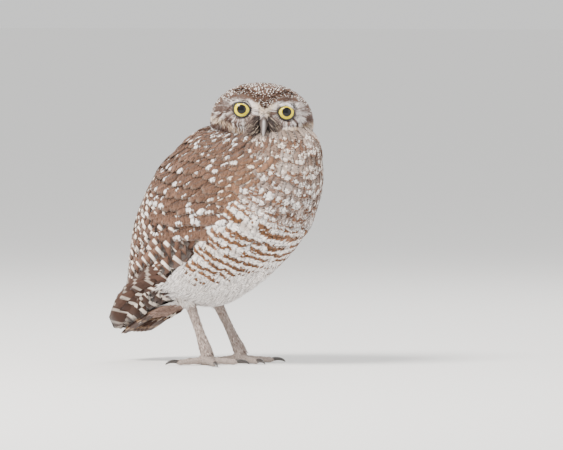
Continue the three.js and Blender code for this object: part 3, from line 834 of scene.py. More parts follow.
def wing_coverts(side, name):
    """Rows of spotted coverts from the quills up to the shoulder."""
    coverts = Vanes(f"wing_{name}_coverts", 8, 5, feather_profile, 0.3)
    n = COVERTS
    for row, row_share in enumerate(COVERT_ROWS):
        turn = 120 - 3.2 * (row % 2) - 6.5 * np.arange(n)
        tip_share = row_share + 0.0031 * (116 - turn) * (row_share / 0.46)
        up_the_wing = float(smooth(row, 0, 5))
        length = 0.1 - 0.02 * up_the_wing
        drop = 20 - 12 * up_the_wing
        front = smooth(turn, 92, 112) * smooth(row, 1, 4)
        size = (0.7 + 0.29 * rng.random(n)) * (1 - 0.12 * front)
        size = np.where(rng.random(n) < 0.14, 0.0, size)
        paired = 0.7 if row < 3 else 0.12
        size = np.where((rng.random(n) < paired) & (size > 0), 1 + 0.85 * size, size)
        mark = mix(vary(WHITE, n, 0.06), CREAM, 0.8 * front)
        tone = vary(mix(BROWN, BROWN_WARM, 0.6 * front + 0.2), n, 0.13)
        slim = 0.45 * rng.random(n)
        tier(
            coverts, side, (np.maximum(tip_share - length, 0.06), turn + drop * 0.75),
            (tip_share, turn - drop * 0.25), width=11.5 if row < 2 else 10.2,
            lift=-2.4 + 0.13 * row, rise=1.5, tone=tone, mark=mark,
            pattern=look_numbers(size, 0.35, slim, n), fray=9, tilt=8, jitter=1.3,
        )
    return coverts.build(spotted, side_map)


for side, name in ((-1, "right"), (1, "left")):
    for piece in (wing_quills(side, name), wing_coverts(side, name)):
        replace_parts(piece, f"wing_{name}")


# Back and shoulders
BACK_ROWS = np.linspace(0.93, 0.045, 35)

back = Vanes("back_feathers", 7, 5, feather_profile, 0.3)
for row, share in enumerate(BACK_ROWS):
    half = 22 + 78 * float(smooth(share, 0.27, 0.12)) + 34 * float(smooth(share, 0.62, 0.8))
    sunk = 7 * float(smooth(share, 0.6, 0.8)) + 8 * float(smooth(share, 0.8, 0.95))
    step = turn_step(share, 8.2, TO_BACK)
    n = int(2 * half / step) + 1
    turn = (np.arange(n) - (n - 1) / 2) * step + step / 2 * (row % 2) + rng.normal(0, 1.2, n)
    size = np.where(rng.random(n) < 0.2, 0.0, 0.6 + 0.38 * rng.random(n))
    size = np.where((rng.random(n) < 0.25) & (size > 0), 1 + 0.8 * size, size)
    size = np.where(share < 0.1, 0.95, size)
    on_neck = share < 0.2
    lay(
        back, np.full(n, share), turn, length=14 if on_neck else 19, width=9 if on_neck else 11,
        lift=-0.9 - sunk, rise=1.5, tone=vary(mix(BROWN, BROWN_WARM, rng.random(n) * 0.4), n, 0.12),
        mark=vary(WHITE, n, 0.05), pattern=look_numbers(size, 0.35, 0.2 + 0.4 * rng.random(n), n),
        cup=0.2, fray=8,
    )
back.build(spotted, body_map)


# Breast and flanks
BARS_END, BREAST_SPACING = 0.47, 7.6


def bars_end(turn):
    """The share of the body's length where the bars give way to the white belly."""
    return BARS_END + 0.13 * smooth(np.abs(turn - 180), 5, 48)


breast = Vanes("breast_feathers", 8, 5, feather_profile, 0.28)
midline = np.linspace(0.052, 0.64, 200)
arc = np.linalg.norm(np.diff(body(midline, 180.0), axis=0), axis=-1)
arc = np.concatenate([[0], np.cumsum(arc)])
for row, reached in enumerate(np.arange(arc[-1], 0, -BREAST_SPACING)):
    share = float(np.interp(reached, arc, midline))
    step = turn_step(share, 6.2, TO_FRONT)
    first = 120 - 28 * float(smooth(share, 0.15, 0.06))
    turn = np.arange(first + step / 2 * (row % 2), 360 - first, step)
    n = len(turn)
    turn = turn + rng.normal(0, 0.9 + 0.8 * float(smooth(share, 0.3, 0.2)), n)
    tip = share + share_step(np.full(n, share), turn, 16.0)
    keep = tip < bars_end(turn) + 0.09 + 0.02 * rng.random(n)
    turn, tip = turn[keep], tip[keep]
    n = len(turn)
    if n == 0:
        continue
    faint = np.where(rng.random(n) < 0.12, 0.4, 1.0)
    bar = smooth(bars_end(turn) + 0.045 - tip, 0, 0.03) * faint
    blob = smooth(tip, 0.36, 0.27) * (1 - 0.35 * rng.random(n))
    brown = mix(mix(BROWN_WARM, OCHRE, rng.random(n)), BROWN, 0.7 * blob)
    cream = 0.1 + 0.3 * smooth(tip, 0.2, 0.14) + 0.15 * rng.random(n)
    pale = mix(np.tile(WHITE, (n, 1)), CREAM, cream)
    size = 0.1 + 1.1 * rng.random(n)
    size = np.where(rng.random(n) < 0.16 * blob, -0.5, size)
    high = float(smooth(share, 0.12, 0.06))
    start = share + rng.normal(0, 0.0012, n) * (1 + 2.5 * blob)
    lay(
        breast, start, turn, length=14 if share < 0.15 else 18, width=11.5 - 3.5 * high,
        lift=-1.9 - 1.4 * high, rise=1.7, tone=vary(pale, n, 0.04), mark=vary(brown, n, 0.12),
        pattern=look_numbers(bar, size, blob, n), cup=0.22, fray=6,
    )
breast.build(barred, body_map)


# Belly fluff
FLUFF_COUNT = 6400

fluff = Vanes("belly_down", 6, 3, tuft_profile, 0.25)
turn = 180 + 76 * (2 * rng.random(FLUFF_COUNT) - 1)
reach = 0.43 - (bars_end(turn) - BARS_END)
share = bars_end(turn) - 0.05 + reach * rng.random(FLUFF_COUNT) ** 0.9
keep = (np.abs(turn - 180) < 69 - 35 * smooth(share, 0.66, 0.88)) & (share < 0.76)
share, turn = share[keep], turn[keep]
n = len(share)
length, width = 15 + 7 * rng.random(n), 1.7 + 1.3 * rng.random(n)
rise = 2.5 + 1.8 * rng.random(n) + 2.2 * rng.random(n) * smooth(share, 0.55, 0.68)
tone = vary(mix(WHITE, CREAM, 0.12 * rng.random(n)), n, 0.035)
lay(fluff, share, turn, length, width, -2.3, rise, tone, WHITE, look_numbers(0, 0, 0, n), cup=0.3)
fluff.build(down, body_map)


# Tail
TAIL_BACK, TAIL_UP, TAIL_SLOPE, TAIL_LENGTH = 62, 56, -31 * RAD, 63
TAIL_COUNT, TAIL_FAN, TAIL_SPACING = 12, 1.35 * RAD, 1.5
COVERT_SPACING, COVERT_WIDTH = 4.8, 11.0
TAIL_TIERS = (
    # start along the tail, feathers, length, height over the quills, colour
    (-8, 6, 30, 6.0, BROWN),
    (0, 6, 28, 3.4, BROWN),
    (-10, 7, 30, -11.0, WHITE),
    (-3, 7, 32, -9.0, ROSY),
    (6, 6, 30, -6.5, ROSY),
)


def tail_point(across, along, up):
    c, s = math.cos(TAIL_SLOPE), math.sin(TAIL_SLOPE)
    return vectors(across, TAIL_BACK + along * c - up * s, TAIL_UP + along * s + up * c)


TAIL_NORMAL = unit(tail_point(0.0, 0.0, 1.0) - tail_point(0.0, 0.0, 0.0))
tail = Vanes("tail_quills", 14, 7, flight_profile, 0.4)
v = np.linspace(-0.15, 1, tail.m)
for i in np.arange(TAIL_COUNT) - (TAIL_COUNT - 1) / 2:
    reach = TAIL_LENGTH - 0.22 * i * i
    drop = -0.92 * (abs(i) - (0.5 if i > 0 else 0))
    across = TAIL_SPACING * i + reach * v * math.sin(TAIL_FAN * i)
    path = tail_point(across, reach * v, drop)[None]
    tail.add(
        path, np.broadcast_to(TAIL_NORMAL, path.shape), 12.0, vary(BROWN_DARK, 1, 0.06),
        vary(mix(BUFF, BROWN, 0.35), 1, 0.05), look_numbers(1.0 if i < 0 else 0.0, 5.0, 0.35, 1),
        cup=0.06, fray=12,
    )
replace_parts(tail.build(quilled, side_map), "tail")

tail_coverts = Vanes("tail_coverts", 7, 5, feather_profile, 0.3)
v = np.linspace(0, 1, tail_coverts.m)
for start, count, length, up, colour in TAIL_TIERS:
    above = up > 0
    i = np.arange(count) - (count - 1) / 2
    across = i[:, None] * COVERT_SPACING * (1 - 0.12 * v)
    height = up * (1 - 0.75 * v) if above else up + (-up - 2.6) * v
    path = tail_point(across, start + length * v, height)
    normal = np.broadcast_to(TAIL_NORMAL * (1 if above else -1), path.shape)
    tail_coverts.add(
        path, normal, COVERT_WIDTH, vary(colour, count, 0.07), vary(CREAM, count, 0.05),
        look_numbers(0.7 if above else 0.0, 0.3, 0.3, count), cup=0.3, fray=8,
    )
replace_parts(tail_coverts.build(spotted, side_map), "tail")


# Head plumage
EYE_LEVEL = 0.5
CHEEK_DARK, CHEEK_PALE = srgb(124, 101, 92), srgb(236, 227, 223)
STREAK_BROWN, TEMPLE_BROWN = srgb(80, 57, 49), srgb(112, 92, 84)
LORES_BROWN, RING_BROWN = srgb(62, 46, 42), srgb(92, 74, 68)
RUFF_BROWN, COLLAR_BROWN = srgb(96, 70, 52), srgb(92, 62, 50)
STREAKS_ROUND, STREAKS_OUT = 128, 32
STREAK_TABLE = np.random.default_rng(5).random((2, STREAKS_ROUND, STREAKS_OUT))


def brow_middle(side):
    """Height of the middle of the white brow, that far to the side of the face."""
    return np.interp(side, [0, 4, 8, 12, 18, 24, 30, 36], [0.3, 1.6, 3.6, 5.6, 7.0, 5.8, 3.2, 0.0])


def crown_edge(side):
    """Height where the brown crown meets the brows, or the cheeks past them."""
    return np.interp(side, [0, 3, 7, 12, 20, 28, 34, 40], [2.0, 2.9, 4.7, 7.2, 8.3, 7.0, 3.6, -2.5])


def ruff_middle(side):
    """Height of the middle of the pale ruff under the bill and the cheeks."""
    return np.interp(side, [0, 10, 20, 26, 30, 38], [-20.0, -17.5, -15.0, -12.5, -10.8, -8.0])


def head_flow(p, normal):
    """The lie of the feathers: out from the eyes over the face, back over the crown,
    and down behind the cheeks, kept in the surface."""
    x, y, z = np.moveaxis(p, -1, 0)
    side = np.where(x >= 0, 1.0, -1.0)
    ex, ez = x - side * EYE_SPREAD, z - EYE_LEVEL
    distance = np.maximum(np.hypot(ex, ez), 1)
    by_bill = smooth(np.abs(x), 12, 4) * smooth(z, 4, -2)
    on_bridge = smooth(np.abs(x), 7, 3) * smooth(z, -3, 1)
    facial_lie = vectors(ex / distance, 0.25, ez / distance)
    facial_lie = mix(facial_lie, vectors(side * 0.8, 0.1, -0.6), by_bill)
    facial_lie = mix(facial_lie, vectors(0.12 * x, 0.3, 1), on_bridge)
    rear_lie = vectors(0.35 * x / 40, 1, 0.25 - 1.4 * smooth(y, 2, 26))
    crown_lie = mix(vectors(0.06 * x, 0.6, 0.9), rear_lie, smooth(y, -26, -6))
    edge = crown_edge(np.abs(x))
    in_face = smooth(-y, -6, 8) * (1 - smooth(z, edge - 1, edge + 2))
    flow = mix(crown_lie, facial_lie, in_face)
    return unit(flow - (flow * normal).sum(-1, keepdims=True) * normal)


def sphere_points(n):
    """Directions spread evenly over a sphere, along a spiral."""
    i = np.arange(n) + 0.5
    z = 1 - 2 * i / n
    a = np.pi * (1 + 5**0.5) * i
    r = np.sqrt(1 - z * z)
    return vectors(r * np.cos(a), r * np.sin(a), z)


def near_line(value, middle, half):
    """1 on a line and falling softly to 0 on both sides of it."""
    return np.exp(-(((value - middle) / half) ** 2))


def streaks(x, z):
    """A number from 0 to 1 that changes fast round each eye and slowly away from it."""
    side = np.where(x >= 0, 1, 0)
    ex, ez = np.abs(x) - EYE_SPREAD, z - EYE_LEVEL
    distance = np.hypot(ex, ez)
    around = (np.arctan2(ez, ex) / (2 * np.pi) + 0.5) * 72 + 0.1 * distance
    outward = distance / 6.0
    i, j = around.astype(int), outward.astype(int)
    f, g = smooth(around - i, 0, 1), smooth(outward - j, 0, 1)

    def at(a, b):
        return STREAK_TABLE[side, a % STREAKS_ROUND, b % STREAKS_OUT]

    low = at(i, j) * (1 - f) + at(i + 1, j) * f
    high = at(i, j + 1) * (1 - f) + at(i + 1, j + 1) * f
    return low * (1 - g) + high * g


def head_colours(p):
    """Tone, marking colour and the four numbers for feathers rooted at p, in the head's
    own frame: brown crown, white brows, grey streaked cheeks, dark lores, pale ruff."""
    n = len(p)
    x, y, z = np.moveaxis(p, -1, 0)
    side = np.abs(x)
    chance, other = rng.random(n), rng.random(n)
    from_eye = np.hypot(side - EYE_SPREAD, z - 0.3)

    streak = streaks(x, z)
    light = smooth(streak + 0.3 * (chance - 0.5), 0.62, 0.36)
    dark = smooth(streak + 0.2 * (other - 0.5), 0.58, 0.7) * smooth(from_eye, 8, 11)
    tone = mix(mix(CHEEK_DARK, CHEEK_PALE, light), STREAK_BROWN, 0.9 * dark)
    temple = smooth(side, 24, 29) * near_line(z, 3.5, 4.5)
    tone = mix(tone, TEMPLE_BROWN, 0.7 * temple)

    brow = smooth(2.3 - np.abs(z - brow_middle(side)), -0.6, 1.2) * smooth(side, 28, 20)
    brow_tone = mix(WHITE, CREAM, smooth(side, 14, 5))
    tone = mix(tone, brow_tone, 0.92 * brow * (1 - 0.5 * (other < 0.1)))
    bridge = smooth(side, 7.5, 4.0) * smooth(z, -3.5, -0.5)
    tone = mix(tone, mix(CREAM, WHITE, 0.3 * chance), 0.9 * bridge)
    lores = near_line(side, 6.9, 4.4) * near_line(z, -12.0, 6.5)
    tone = mix(tone, LORES_BROWN, np.clip(1.4 * lores, 0, 0.95) * (other < 0.9))
    ring = smooth(from_eye, 9.2, 7.4) * (1 - brow)
    tone = mix(tone, RING_BROWN, 0.7 * ring)

    ruff_line = ruff_middle(side)
    ruff_tone = mix(mix(BUFF, CREAM, chance), RUFF_BROWN, 0.8 * (other < 0.22))
    tone = mix(tone, ruff_tone, 0.9 * near_line(z, ruff_line, 2.4))
    collar = smooth(ruff_line - 2.2 - z, 0, 1.5) * smooth(side, 12, 18)
    tone = mix(tone, mix(COLLAR_BROWN, BROWN_DARK, chance), 0.92 * collar)
    throat = smooth(ruff_line - 6.2 - z, 0, 1.2) * smooth(side, 8, 14) * (1 - smooth(y, 12, 20))
    tone = mix(tone, WHITE * 0.95, 0.9 * throat)

    rear = smooth(y, 0, 8)
    hood = np.maximum(smooth(z - crown_edge(side), -0.8, 0.8), rear)
    tone = mix(tone, mix(BROWN, BROWN_DARK, chance * 0.4), hood)
    fleck = np.where(chance > 0.35 + 0.22 * rear, 0.75 + 0.24 * other, 0.0) * hood
    pattern = np.stack([fleck, 0.3 * hood, np.full(n, 0.15), other], -1)
    return tone, np.tile(mix(WHITE, CREAM, 0.2), (n, 1)), pattern


def head_feathers(vanes, count, length, width, region, lift, rise):
    """Feathers spread over the head where region holds, each following the lie."""
    d = unit(sphere_points(count) + rng.normal(0, 0.012, (count, 3)))
    p = head_point(d)
    keep = region(p)
    d, p = d[keep], p[keep]
    n, m = len(p), vanes.m
    size = length(p) * (1 + rng.normal(0, 0.1, n))
    raised = rng.normal(0, 0.12, n)
    path, normals = np.empty((2, n, m, 3))
    for i, v in enumerate(np.linspace(0, 1, m)):
        base, normals[:, i] = head_point(d), head_normal(d)
        path[:, i] = base + normals[:, i] * (lift + (rise + raised) * v)[:, None]
        step = head_flow(base, normals[:, i]) * (size / (m - 1))[:, None]
        d = unit(base + step - HEAD_CENTRE)
    tone, mark, pattern = head_colours(p)
    vanes.add(
        from_head(path), turned_head(normals), width(p), vary(tone, n, 0.09), mark, pattern, cup=0.25,
        tilt=rng.normal(0, 0.12, n),
    )


def clear_of_eyes(p, margin):
    return (np.hypot(np.abs(p[..., 0]) - EYE_SPREAD, p[..., 2]) > margin) | (p[..., 1] > 0)


def on_face(p):
    """Whether a point is in front and below the brown crown."""
    return (p[..., 1] < 1) & (p[..., 2] < crown_edge(np.abs(p[..., 0])))


def face_region(p):
    """The face, without the eyes and the bill's root."""
    x, y, z = np.moveaxis(p, -1, 0)
    bill = (np.abs(x) < 2.3) & (z < -4.5) & (z > -19) & (y < 0)
    return on_face(p) & clear_of_eyes(p, 7.9) & ~bill


def hood_region(p):
    return ~on_face(p) & clear_of_eyes(p, 9.0)


def hood_size(p):
    return smooth(p[..., 1], -10, 18)


def face_length(p):
    return 4.6 + 4.0 * smooth(p[..., 2], -7, -19)


hood = Vanes("crown_feathers", 6, 3, feather_profile, 0.22)
head_feathers(
    hood, 5600, lambda p: 5.4 + 4.0 * hood_size(p), lambda p: 2.1 + 1.9 * hood_size(p),
    hood_region, -1.7, 1.5,
)
hood.build(spotted, head_map)
face = Vanes("face_feathers", 5, 3, tuft_profile, 0.2)
head_feathers(face, 19000, face_length, lambda p: 1.05, face_region, -1.4, 1.3)
face.build(facial, head_map)


# Skin
FLESH = ("torso", "neck", "head", "thigh_left", "thigh_right")
SKIN_VOXEL, SKIN_SUNK = 0.0013, 0.0019


def grown_from(name, nodes, voxel, material, smoothing=4):
    """One smooth closed piece grown from copies of solids that meet."""
    verts, faces = [], []
    for node in nodes:
        source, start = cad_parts[node].data, len(verts)
        verts += [v.co[:] for v in source.vertices]
        faces += [[i + start for i in face.vertices] for face in source.polygons]
    mesh = bpy.data.meshes.new(name)
    mesh.from_pydata(verts, [], faces)
    obj = link_object(name, mesh)
    remesh = obj.modifiers.new("Remesh", "REMESH")
    remesh.mode = "VOXEL"
    remesh.voxel_size = voxel
    soften = obj.modifiers.new("Smooth", "SMOOTH")
    soften.factor = 0.5
    soften.iterations = smoothing
    depsgraph = bpy.context.evaluated_depsgraph_get()
    obj.data = bpy.data.meshes.new_from_object(obj.evaluated_get(depsgraph))
    obj.modifiers.clear()
    obj.data.materials.clear()
    obj.data.materials.append(material)
    obj.data.polygons.foreach_set("use_smooth", np.ones(len(obj.data.polygons), bool))
    return obj


def shell_round(vert, seen):
    """The vertices joined to one by edges, which it also marks as seen."""
    stack, shell = [vert], []
    seen.add(vert.index)
    while stack:
        one = stack.pop()
        shell.append(one)
        for edge in one.link_edges:
            other = edge.other_vert(one)
            if other.index not in seen:
                seen.add(other.index)
                stack.append(other)
    return shell


def draw_in(obj, depth):
    """Keeps the largest shell of a piece and moves its surface inward."""
    bm = bmesh.new()
    bm.from_mesh(obj.data)
    bm.verts.ensure_lookup_table()
    seen = set()
    shells = sorted((shell_round(v, seen) for v in bm.verts if v.index not in seen), key=len)
    for shell in shells[:-1]:
        bmesh.ops.delete(bm, geom=shell, context="VERTS")
    bm.normal_update()
    for vert in bm.verts:
        vert.co -= vert.normal * depth
    bm.to_mesh(obj.data)
    bm.free()


def vertices_of(obj):
    """A piece's vertices in the design frame."""
    co = np.empty(len(obj.data.vertices) * 3, np.float32)
    obj.data.vertices.foreach_get("co", co)
    return (co.reshape(-1, 3).astype(float) - SHIFT) / MM


def skin_tones(p):
    """The coat's own colours, on the skin under it."""
    on_head = smooth(p[:, 2], 176, 182)
    head_tone = head_colours(to_head(p))[0]
    low_front = smooth(-p[:, 1] + 0.75 * (140 - p[:, 2]), -10, 30)
    below = mix(np.tile(BROWN, (len(p), 1)), WHITE * 0.9, low_front * smooth(p[:, 2], 150, 120))
    return mix(below, head_tone, on_head)


def skin_material():
    t = Nodes("skin")
    noise = t.noise(420.0, 4.0)
    colour = t.shaded(t.attribute("tone"), t.ramp(noise, 0.3, 0.75, 0.7, 1.05))
    return t.finish(colour, roughness=0.9, bump=noise, bump_strength=0.5)


# draws from here on don't change when the coat's do
rng = np.random.default_rng(11)
skin_shader = skin_material()
skin = grown_from("skin", FLESH, SKIN_VOXEL, skin_shader)
draw_in(skin, SKIN_SUNK)
add_colours(skin.data, "tone", skin_tones(vertices_of(skin)))
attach(skin, "root")
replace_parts(skin, "torso", "neck", "head", "thigh_left", "thigh_right")


# Eyes
GAZE_SPLAY, GAZE_RISE = 2.5 * RAD, 3.5 * RAD
IRIS_RADIUS, PUPIL_RADIUS = 6.3, 3.7
CORNEA_RISE, CORNEA_SPREAD = 0.35, 0.62
LID_RADIUS, FOLD_REACH, FOLD_THICK = 9.55, 8.9, 0.45
EYE_MAP_SIZE = 20.0
IRIS_DEEP, IRIS_BRIGHT = (0.80, 0.61, 0.012, 1), (0.95, 0.82, 0.035, 1)
IRIS_INNER, IRIS_OUTER = (0.66, 0.47, 0.02, 1), (0.98, 0.90, 0.14, 1)
EYE_BLACK, PUPIL_BLACK = (0.012, 0.008, 0.006, 1), (0.002, 0.002, 0.0025, 1)
LID_FEATHERS = 2400


def eye_material():
    """Black pupil, yellow iris with fine spokes and a paler rim, under a wet coat."""
    t = Nodes("eye")
    across, up = t.place_in("eye")
    x = t.line(across, EYE_MAP_SIZE, -EYE_MAP_SIZE / 2)
    z = t.line(up, EYE_MAP_SIZE, -EYE_MAP_SIZE / 2)
    radius = t.length(x, z)
    angle = t.math("ARCTAN2", z, x)
    spokes = t.noise(1.0, 3.0, t.vector(t.times(angle, 6.0), t.times(radius, 0.7), 0.0))
    yellow = t.blend(t.ramp(spokes, 0.35, 0.7), IRIS_DEEP, IRIS_BRIGHT)
    inner = t.ramp(radius, PUPIL_RADIUS, PUPIL_RADIUS + 0.9, 0.7, 0.0)
    yellow = t.blend(inner, yellow, IRIS_INNER)
    outer = t.ramp(radius, IRIS_RADIUS - 1.3, IRIS_RADIUS - 0.2)
    yellow = t.blend(t.times(outer, 0.35), yellow, IRIS_OUTER)
    rim = t.ramp(radius, IRIS_RADIUS - 0.15, IRIS_RADIUS + 0.25)
    colour = t.blend(rim, yellow, EYE_BLACK)
    pupil = t.ramp(radius, PUPIL_RADIUS - 0.12, PUPIL_RADIUS + 0.12, 1.0, 0.0)
    colour = t.blend(pupil, colour, PUPIL_BLACK)
    t.gloss(0.6, 0.02)
    t.put(0.05, t.shader.inputs["Specular IOR Level"])
    return t.finish(colour, roughness=0.35)


def grid_faces(rows, columns):
    """Quads of a tube of rows rings by columns points, open at both ends."""
    r, col = np.meshgrid(np.arange(rows - 1), np.arange(columns), indexing="ij")
    beside = (col + 1) % columns
    corners = [r * columns + col, r * columns + beside, (r + 1) * columns + beside, (r + 1) * columns + col]
    return np.stack(corners, -1).reshape(-1, 4)


def tidy_shell(obj):
    """Joins points that coincide and turns the faces outward."""
    bm = bmesh.new()
    bm.from_mesh(obj.data)
    bmesh.ops.remove_doubles(bm, verts=bm.verts, dist=1e-7)
    bmesh.ops.recalc_face_normals(bm, faces=bm.faces)
    bm.to_mesh(obj.data)
    bm.free()
    return obj


def closed_tube(name, rings, material):
    """A closed loft through rings of equally many points, its ends drawn to a point."""
    ends = [np.repeat(ring.mean(0)[None], rings.shape[1], 0)[None] for ring in (rings[0], rings[-1])]
    rings = np.concatenate([ends[0], rings, ends[1]])
    faces = grid_faces(*rings.shape[:2])
    return tidy_shell(new_object(name, rings.reshape(-1, 3), faces, material))


def closed_ring(name, rings, material):
    """A closed ring swept through sections of equally many points."""
    count, around = rings.shape[:2]
    wrapped = grid_faces(count + 1, around) % (count * around)
    return tidy_shell(new_object(name, rings.reshape(-1, 3), wrapped, material))


def turns(steps):
    """Angles that many to a full turn."""
    return 2 * np.pi * np.arange(steps) / steps


def lid_material():
    t = Nodes("eyelid")
    noise = t.noise(1500.0, 3.0)
    colour = t.blend(noise, (0.008, 0.006, 0.006, 1), (0.022, 0.018, 0.017, 1))
    return t.finish(colour, roughness=0.5, bump=noise, bump_strength=0.2)


def lid_opening(side, angle):
    """The opening between the lids, flat above and squared at its outer upper corner,
    as points across and up, with the thickness of the dark rim there; along the top the rim is partly the
    lid's own dark edge and partly a painted shade under the brow."""
    x, z = np.cos(angle), np.sin(angle)
    outward = x * side
    corner = near_line(np.arctan2(z, outward), 0.75, 0.42)
    inner = near_line(np.abs(np.arctan2(z, -outward)), 0.1, 0.3)
    tall = np.where(z > 0, 5.55, 6.2)
    across = x * (6.35 + 0.75 * corner + 0.35 * inner)
    up = z * (tall + 1.1 * corner)
    # partly painted shade: the dark rim thickens along the top to stand for the shade under the brow
    thick = 0.58 + 0.3 * np.clip(z, 0, 1) + 0.3 * corner
    return across, up, thick


class Socket:
    """One eye's place in the head: its centre, and the ways across, up and ahead."""

    def __init__(self, side, name):
        gaze = turn_z(side * GAZE_SPLAY)
        self.side, self.name = side, name
        self.centre = np.array([side * EYE_SPREAD, EYE_DEPTH, 0.0])
        self.across, self.level = gaze @ np.array([1.0, 0, 0]), gaze @ np.array([0, -1.0, 0])
        self.ahead = self.level * math.cos(GAZE_RISE) + np.array([0, 0, math.sin(GAZE_RISE)])
        self.up = np.cross(self.ahead, self.across)

    def place(self, x, z, deep):
        ways = ((x, self.across), (z, self.up), (deep, self.ahead))
        return self.centre + sum(amount[..., None] * way for amount, way in ways)

    def on_ball(self, x, z, radius):
        return self.place(x, z, np.sqrt(np.maximum(radius**2 - x**2 - z**2, 0.5)))

    def ball(self):
        polar = np.linspace(0.004, np.pi - 0.004, 40)[:, None]
        radius = EYE_RADIUS + CORNEA_RISE * np.exp(-((polar / CORNEA_SPREAD) ** 2))
        a = turns(56)
        flat = np.sin(polar) * radius
        ball = self.place(flat * np.cos(a), flat * np.sin(a), np.cos(polar) * radius + 0 * a)
        piece = closed_tube(f"eye_{self.name}_ball", from_head(ball), eye_shader)
        local = to_head(vertices_of(piece)) - self.centre
        seen = np.stack([local @ self.across, local @ self.up], -1) / EYE_MAP_SIZE + 0.5
        add_uv(piece.data, "eye", seen[corners_of(piece.data)])
        return piece

    def lids(self):
        """The dark rim of the lids, thicker along the top, where it is partly a painted shade under the
        brow.
        """
        x, z, thick = lid_opening(self.side, turns(64))
        line = self.on_ball(x, z, EYE_RADIUS + CORNEA_RISE)
        outward = unit(line - self.centre)
        tangent = unit(np.roll(line, -1, 0) - np.roll(line, 1, 0))
        beside = np.cross(outward, tangent)
        b = turns(10)
        ring = line[:, None] + outward[:, None] * (thick[:, None] * np.cos(b))[..., None]
        ring = ring + beside[:, None] * (1.1 * thick[:, None] * np.sin(b))[..., None]
        return closed_ring(f"lids_{self.name}", from_head(ring), lid_shader)

    def fold(self):
        """The feathered fold of skin round the lids."""
        a = turns(64)
        x, z, _ = lid_opening(self.side, a)
        wide = np.linspace(0.02, 1, 9)
        x = x[:, None] * (1 - wide) + FOLD_REACH * np.cos(a)[:, None] * wide
        z = z[:, None] * (1 - wide) + FOLD_REACH * np.sin(a)[:, None] * wide
        outer = self.on_ball(x, z, LID_RADIUS)
        inner = self.on_ball(x, z, LID_RADIUS - FOLD_THICK)[:, ::-1]
        rings = np.concatenate([outer, inner], 1)
        piece = closed_ring(f"eye_fold_{self.name}", from_head(rings), skin_shader)
        add_colours(piece.data, "tone", head_colours(to_head(vertices_of(piece)))[0])
        return piece

    def feather(self, vanes):
        """Short feathers that run out from the lids' rim."""
        n = LID_FEATHERS
        a = 2 * np.pi * rng.random(n)
        x, z, thick = lid_opening(self.side, a)
        from_rim = thick * 1.25 + 3.0 * rng.random(n)
        x, z = x + from_rim * np.cos(a), z + from_rim * np.sin(a)
        v = np.linspace(0, 1, vanes.m)
        swing = a + rng.normal(0, 0.12, n)
        long = (2.6 + 1.4 * rng.random(n))[:, None] * v
        x = x[:, None] + long * np.cos(swing)[:, None]
        z = z[:, None] + long * np.sin(swing)[:, None]
        x, y, z = np.moveaxis(self.on_ball(x, z, LID_RADIUS), -1, 0)
        path = vectors(x, np.minimum(y, face_depth(x, z)) - 0.1 - 0.35 * v, z)
        outward = unit(path - self.centre) * 0.5 + self.level * 0.5
        tone, mark, pattern = head_colours(path[:, 1])
        vanes.add(from_head(path), turned_head(outward), 0.7, vary(tone, n, 0.1), mark, pattern, cup=0.3)


eye_shader = eye_material()
lid_shader = lid_material()
lid_feathers = Vanes("eyelid_feathers", 4, 3, tuft_profile, 0.12)
for side, name in ((-1, "right"), (1, "left")):
    socket = Socket(side, name)
    for piece, slot in ((socket.ball(), "eye"), (socket.lids(), "bill"), (socket.fold(), "plumage")):
        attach(piece, "root")
        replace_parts(piece, f"eye_{name}")
    socket.feather(lid_feathers)
lid_feathers.build(facial, head_map)


# Bill
# Stations from the root to the tip: ridge back and up, under side back and up, half width.
UPPER_BILL = np.array(
    [
        [-18, -3.4, -18, -13.4, 3.4],
        [-27, -3.6, -26.5, -13.6, 3.5],
        [-31.4, -5.4, -28.8, -14.2, 3.3],
        [-34.2, -8.8, -30.6, -15, 2.9],
        [-35.6, -12.8, -32, -16.2, 2.2],
        [-35.9, -16.2, -33.6, -17.8, 1.3],
        [-35.3, -19.6, -34.7, -19.9, 0.4],
    ]
)
LOWER_BILL = np.array(
    [
        [-18, -13.0, -18, -17.4, 2.8],
        [-26, -13.4, -26, -17.8, 2.8],
        [-29.6, -14.8, -29.2, -18.4, 2.3],
        [-31.8, -16.4, -31.6, -18.6, 1.5],
        [-33.0, -17.8, -32.9, -18.4, 0.5],
    ]
)
NOSTRIL = np.array([2.6, -29.8, -7.2])


def bill_material():
    t = Nodes("bill")
    # painted highlight: the ridge number turns the top of the upper bill pale over dark grey-brown sides
    ridge = t.plus(t.attribute("ridge", "Fac"), t.line(t.noise(700.0, 3.0), 0.3, -0.15))
    colour = t.blend(t.ramp(ridge, 0.05, 0.95), (0.085, 0.064, 0.058, 1), (0.36, 0.33, 0.32, 1))
    t.gloss(0.2, 0.3)
    return t.finish(colour, roughness=0.45, bump=t.noise(2500.0, 1.0), bump_strength=0.15)


def refine(table, steps):
    """More stations along a table, by a smooth curve through its rows."""
    return curve_through(table, np.linspace(0, len(table) - 1, steps))


def from_nostril(p, size):
    """Distance from the nearer nostril, in units of size."""
    one_side = vectors(np.abs(p[..., 0]), p[..., 1], p[..., 2])
    return np.linalg.norm((one_side - NOSTRIL) / np.array(size), axis=-1)


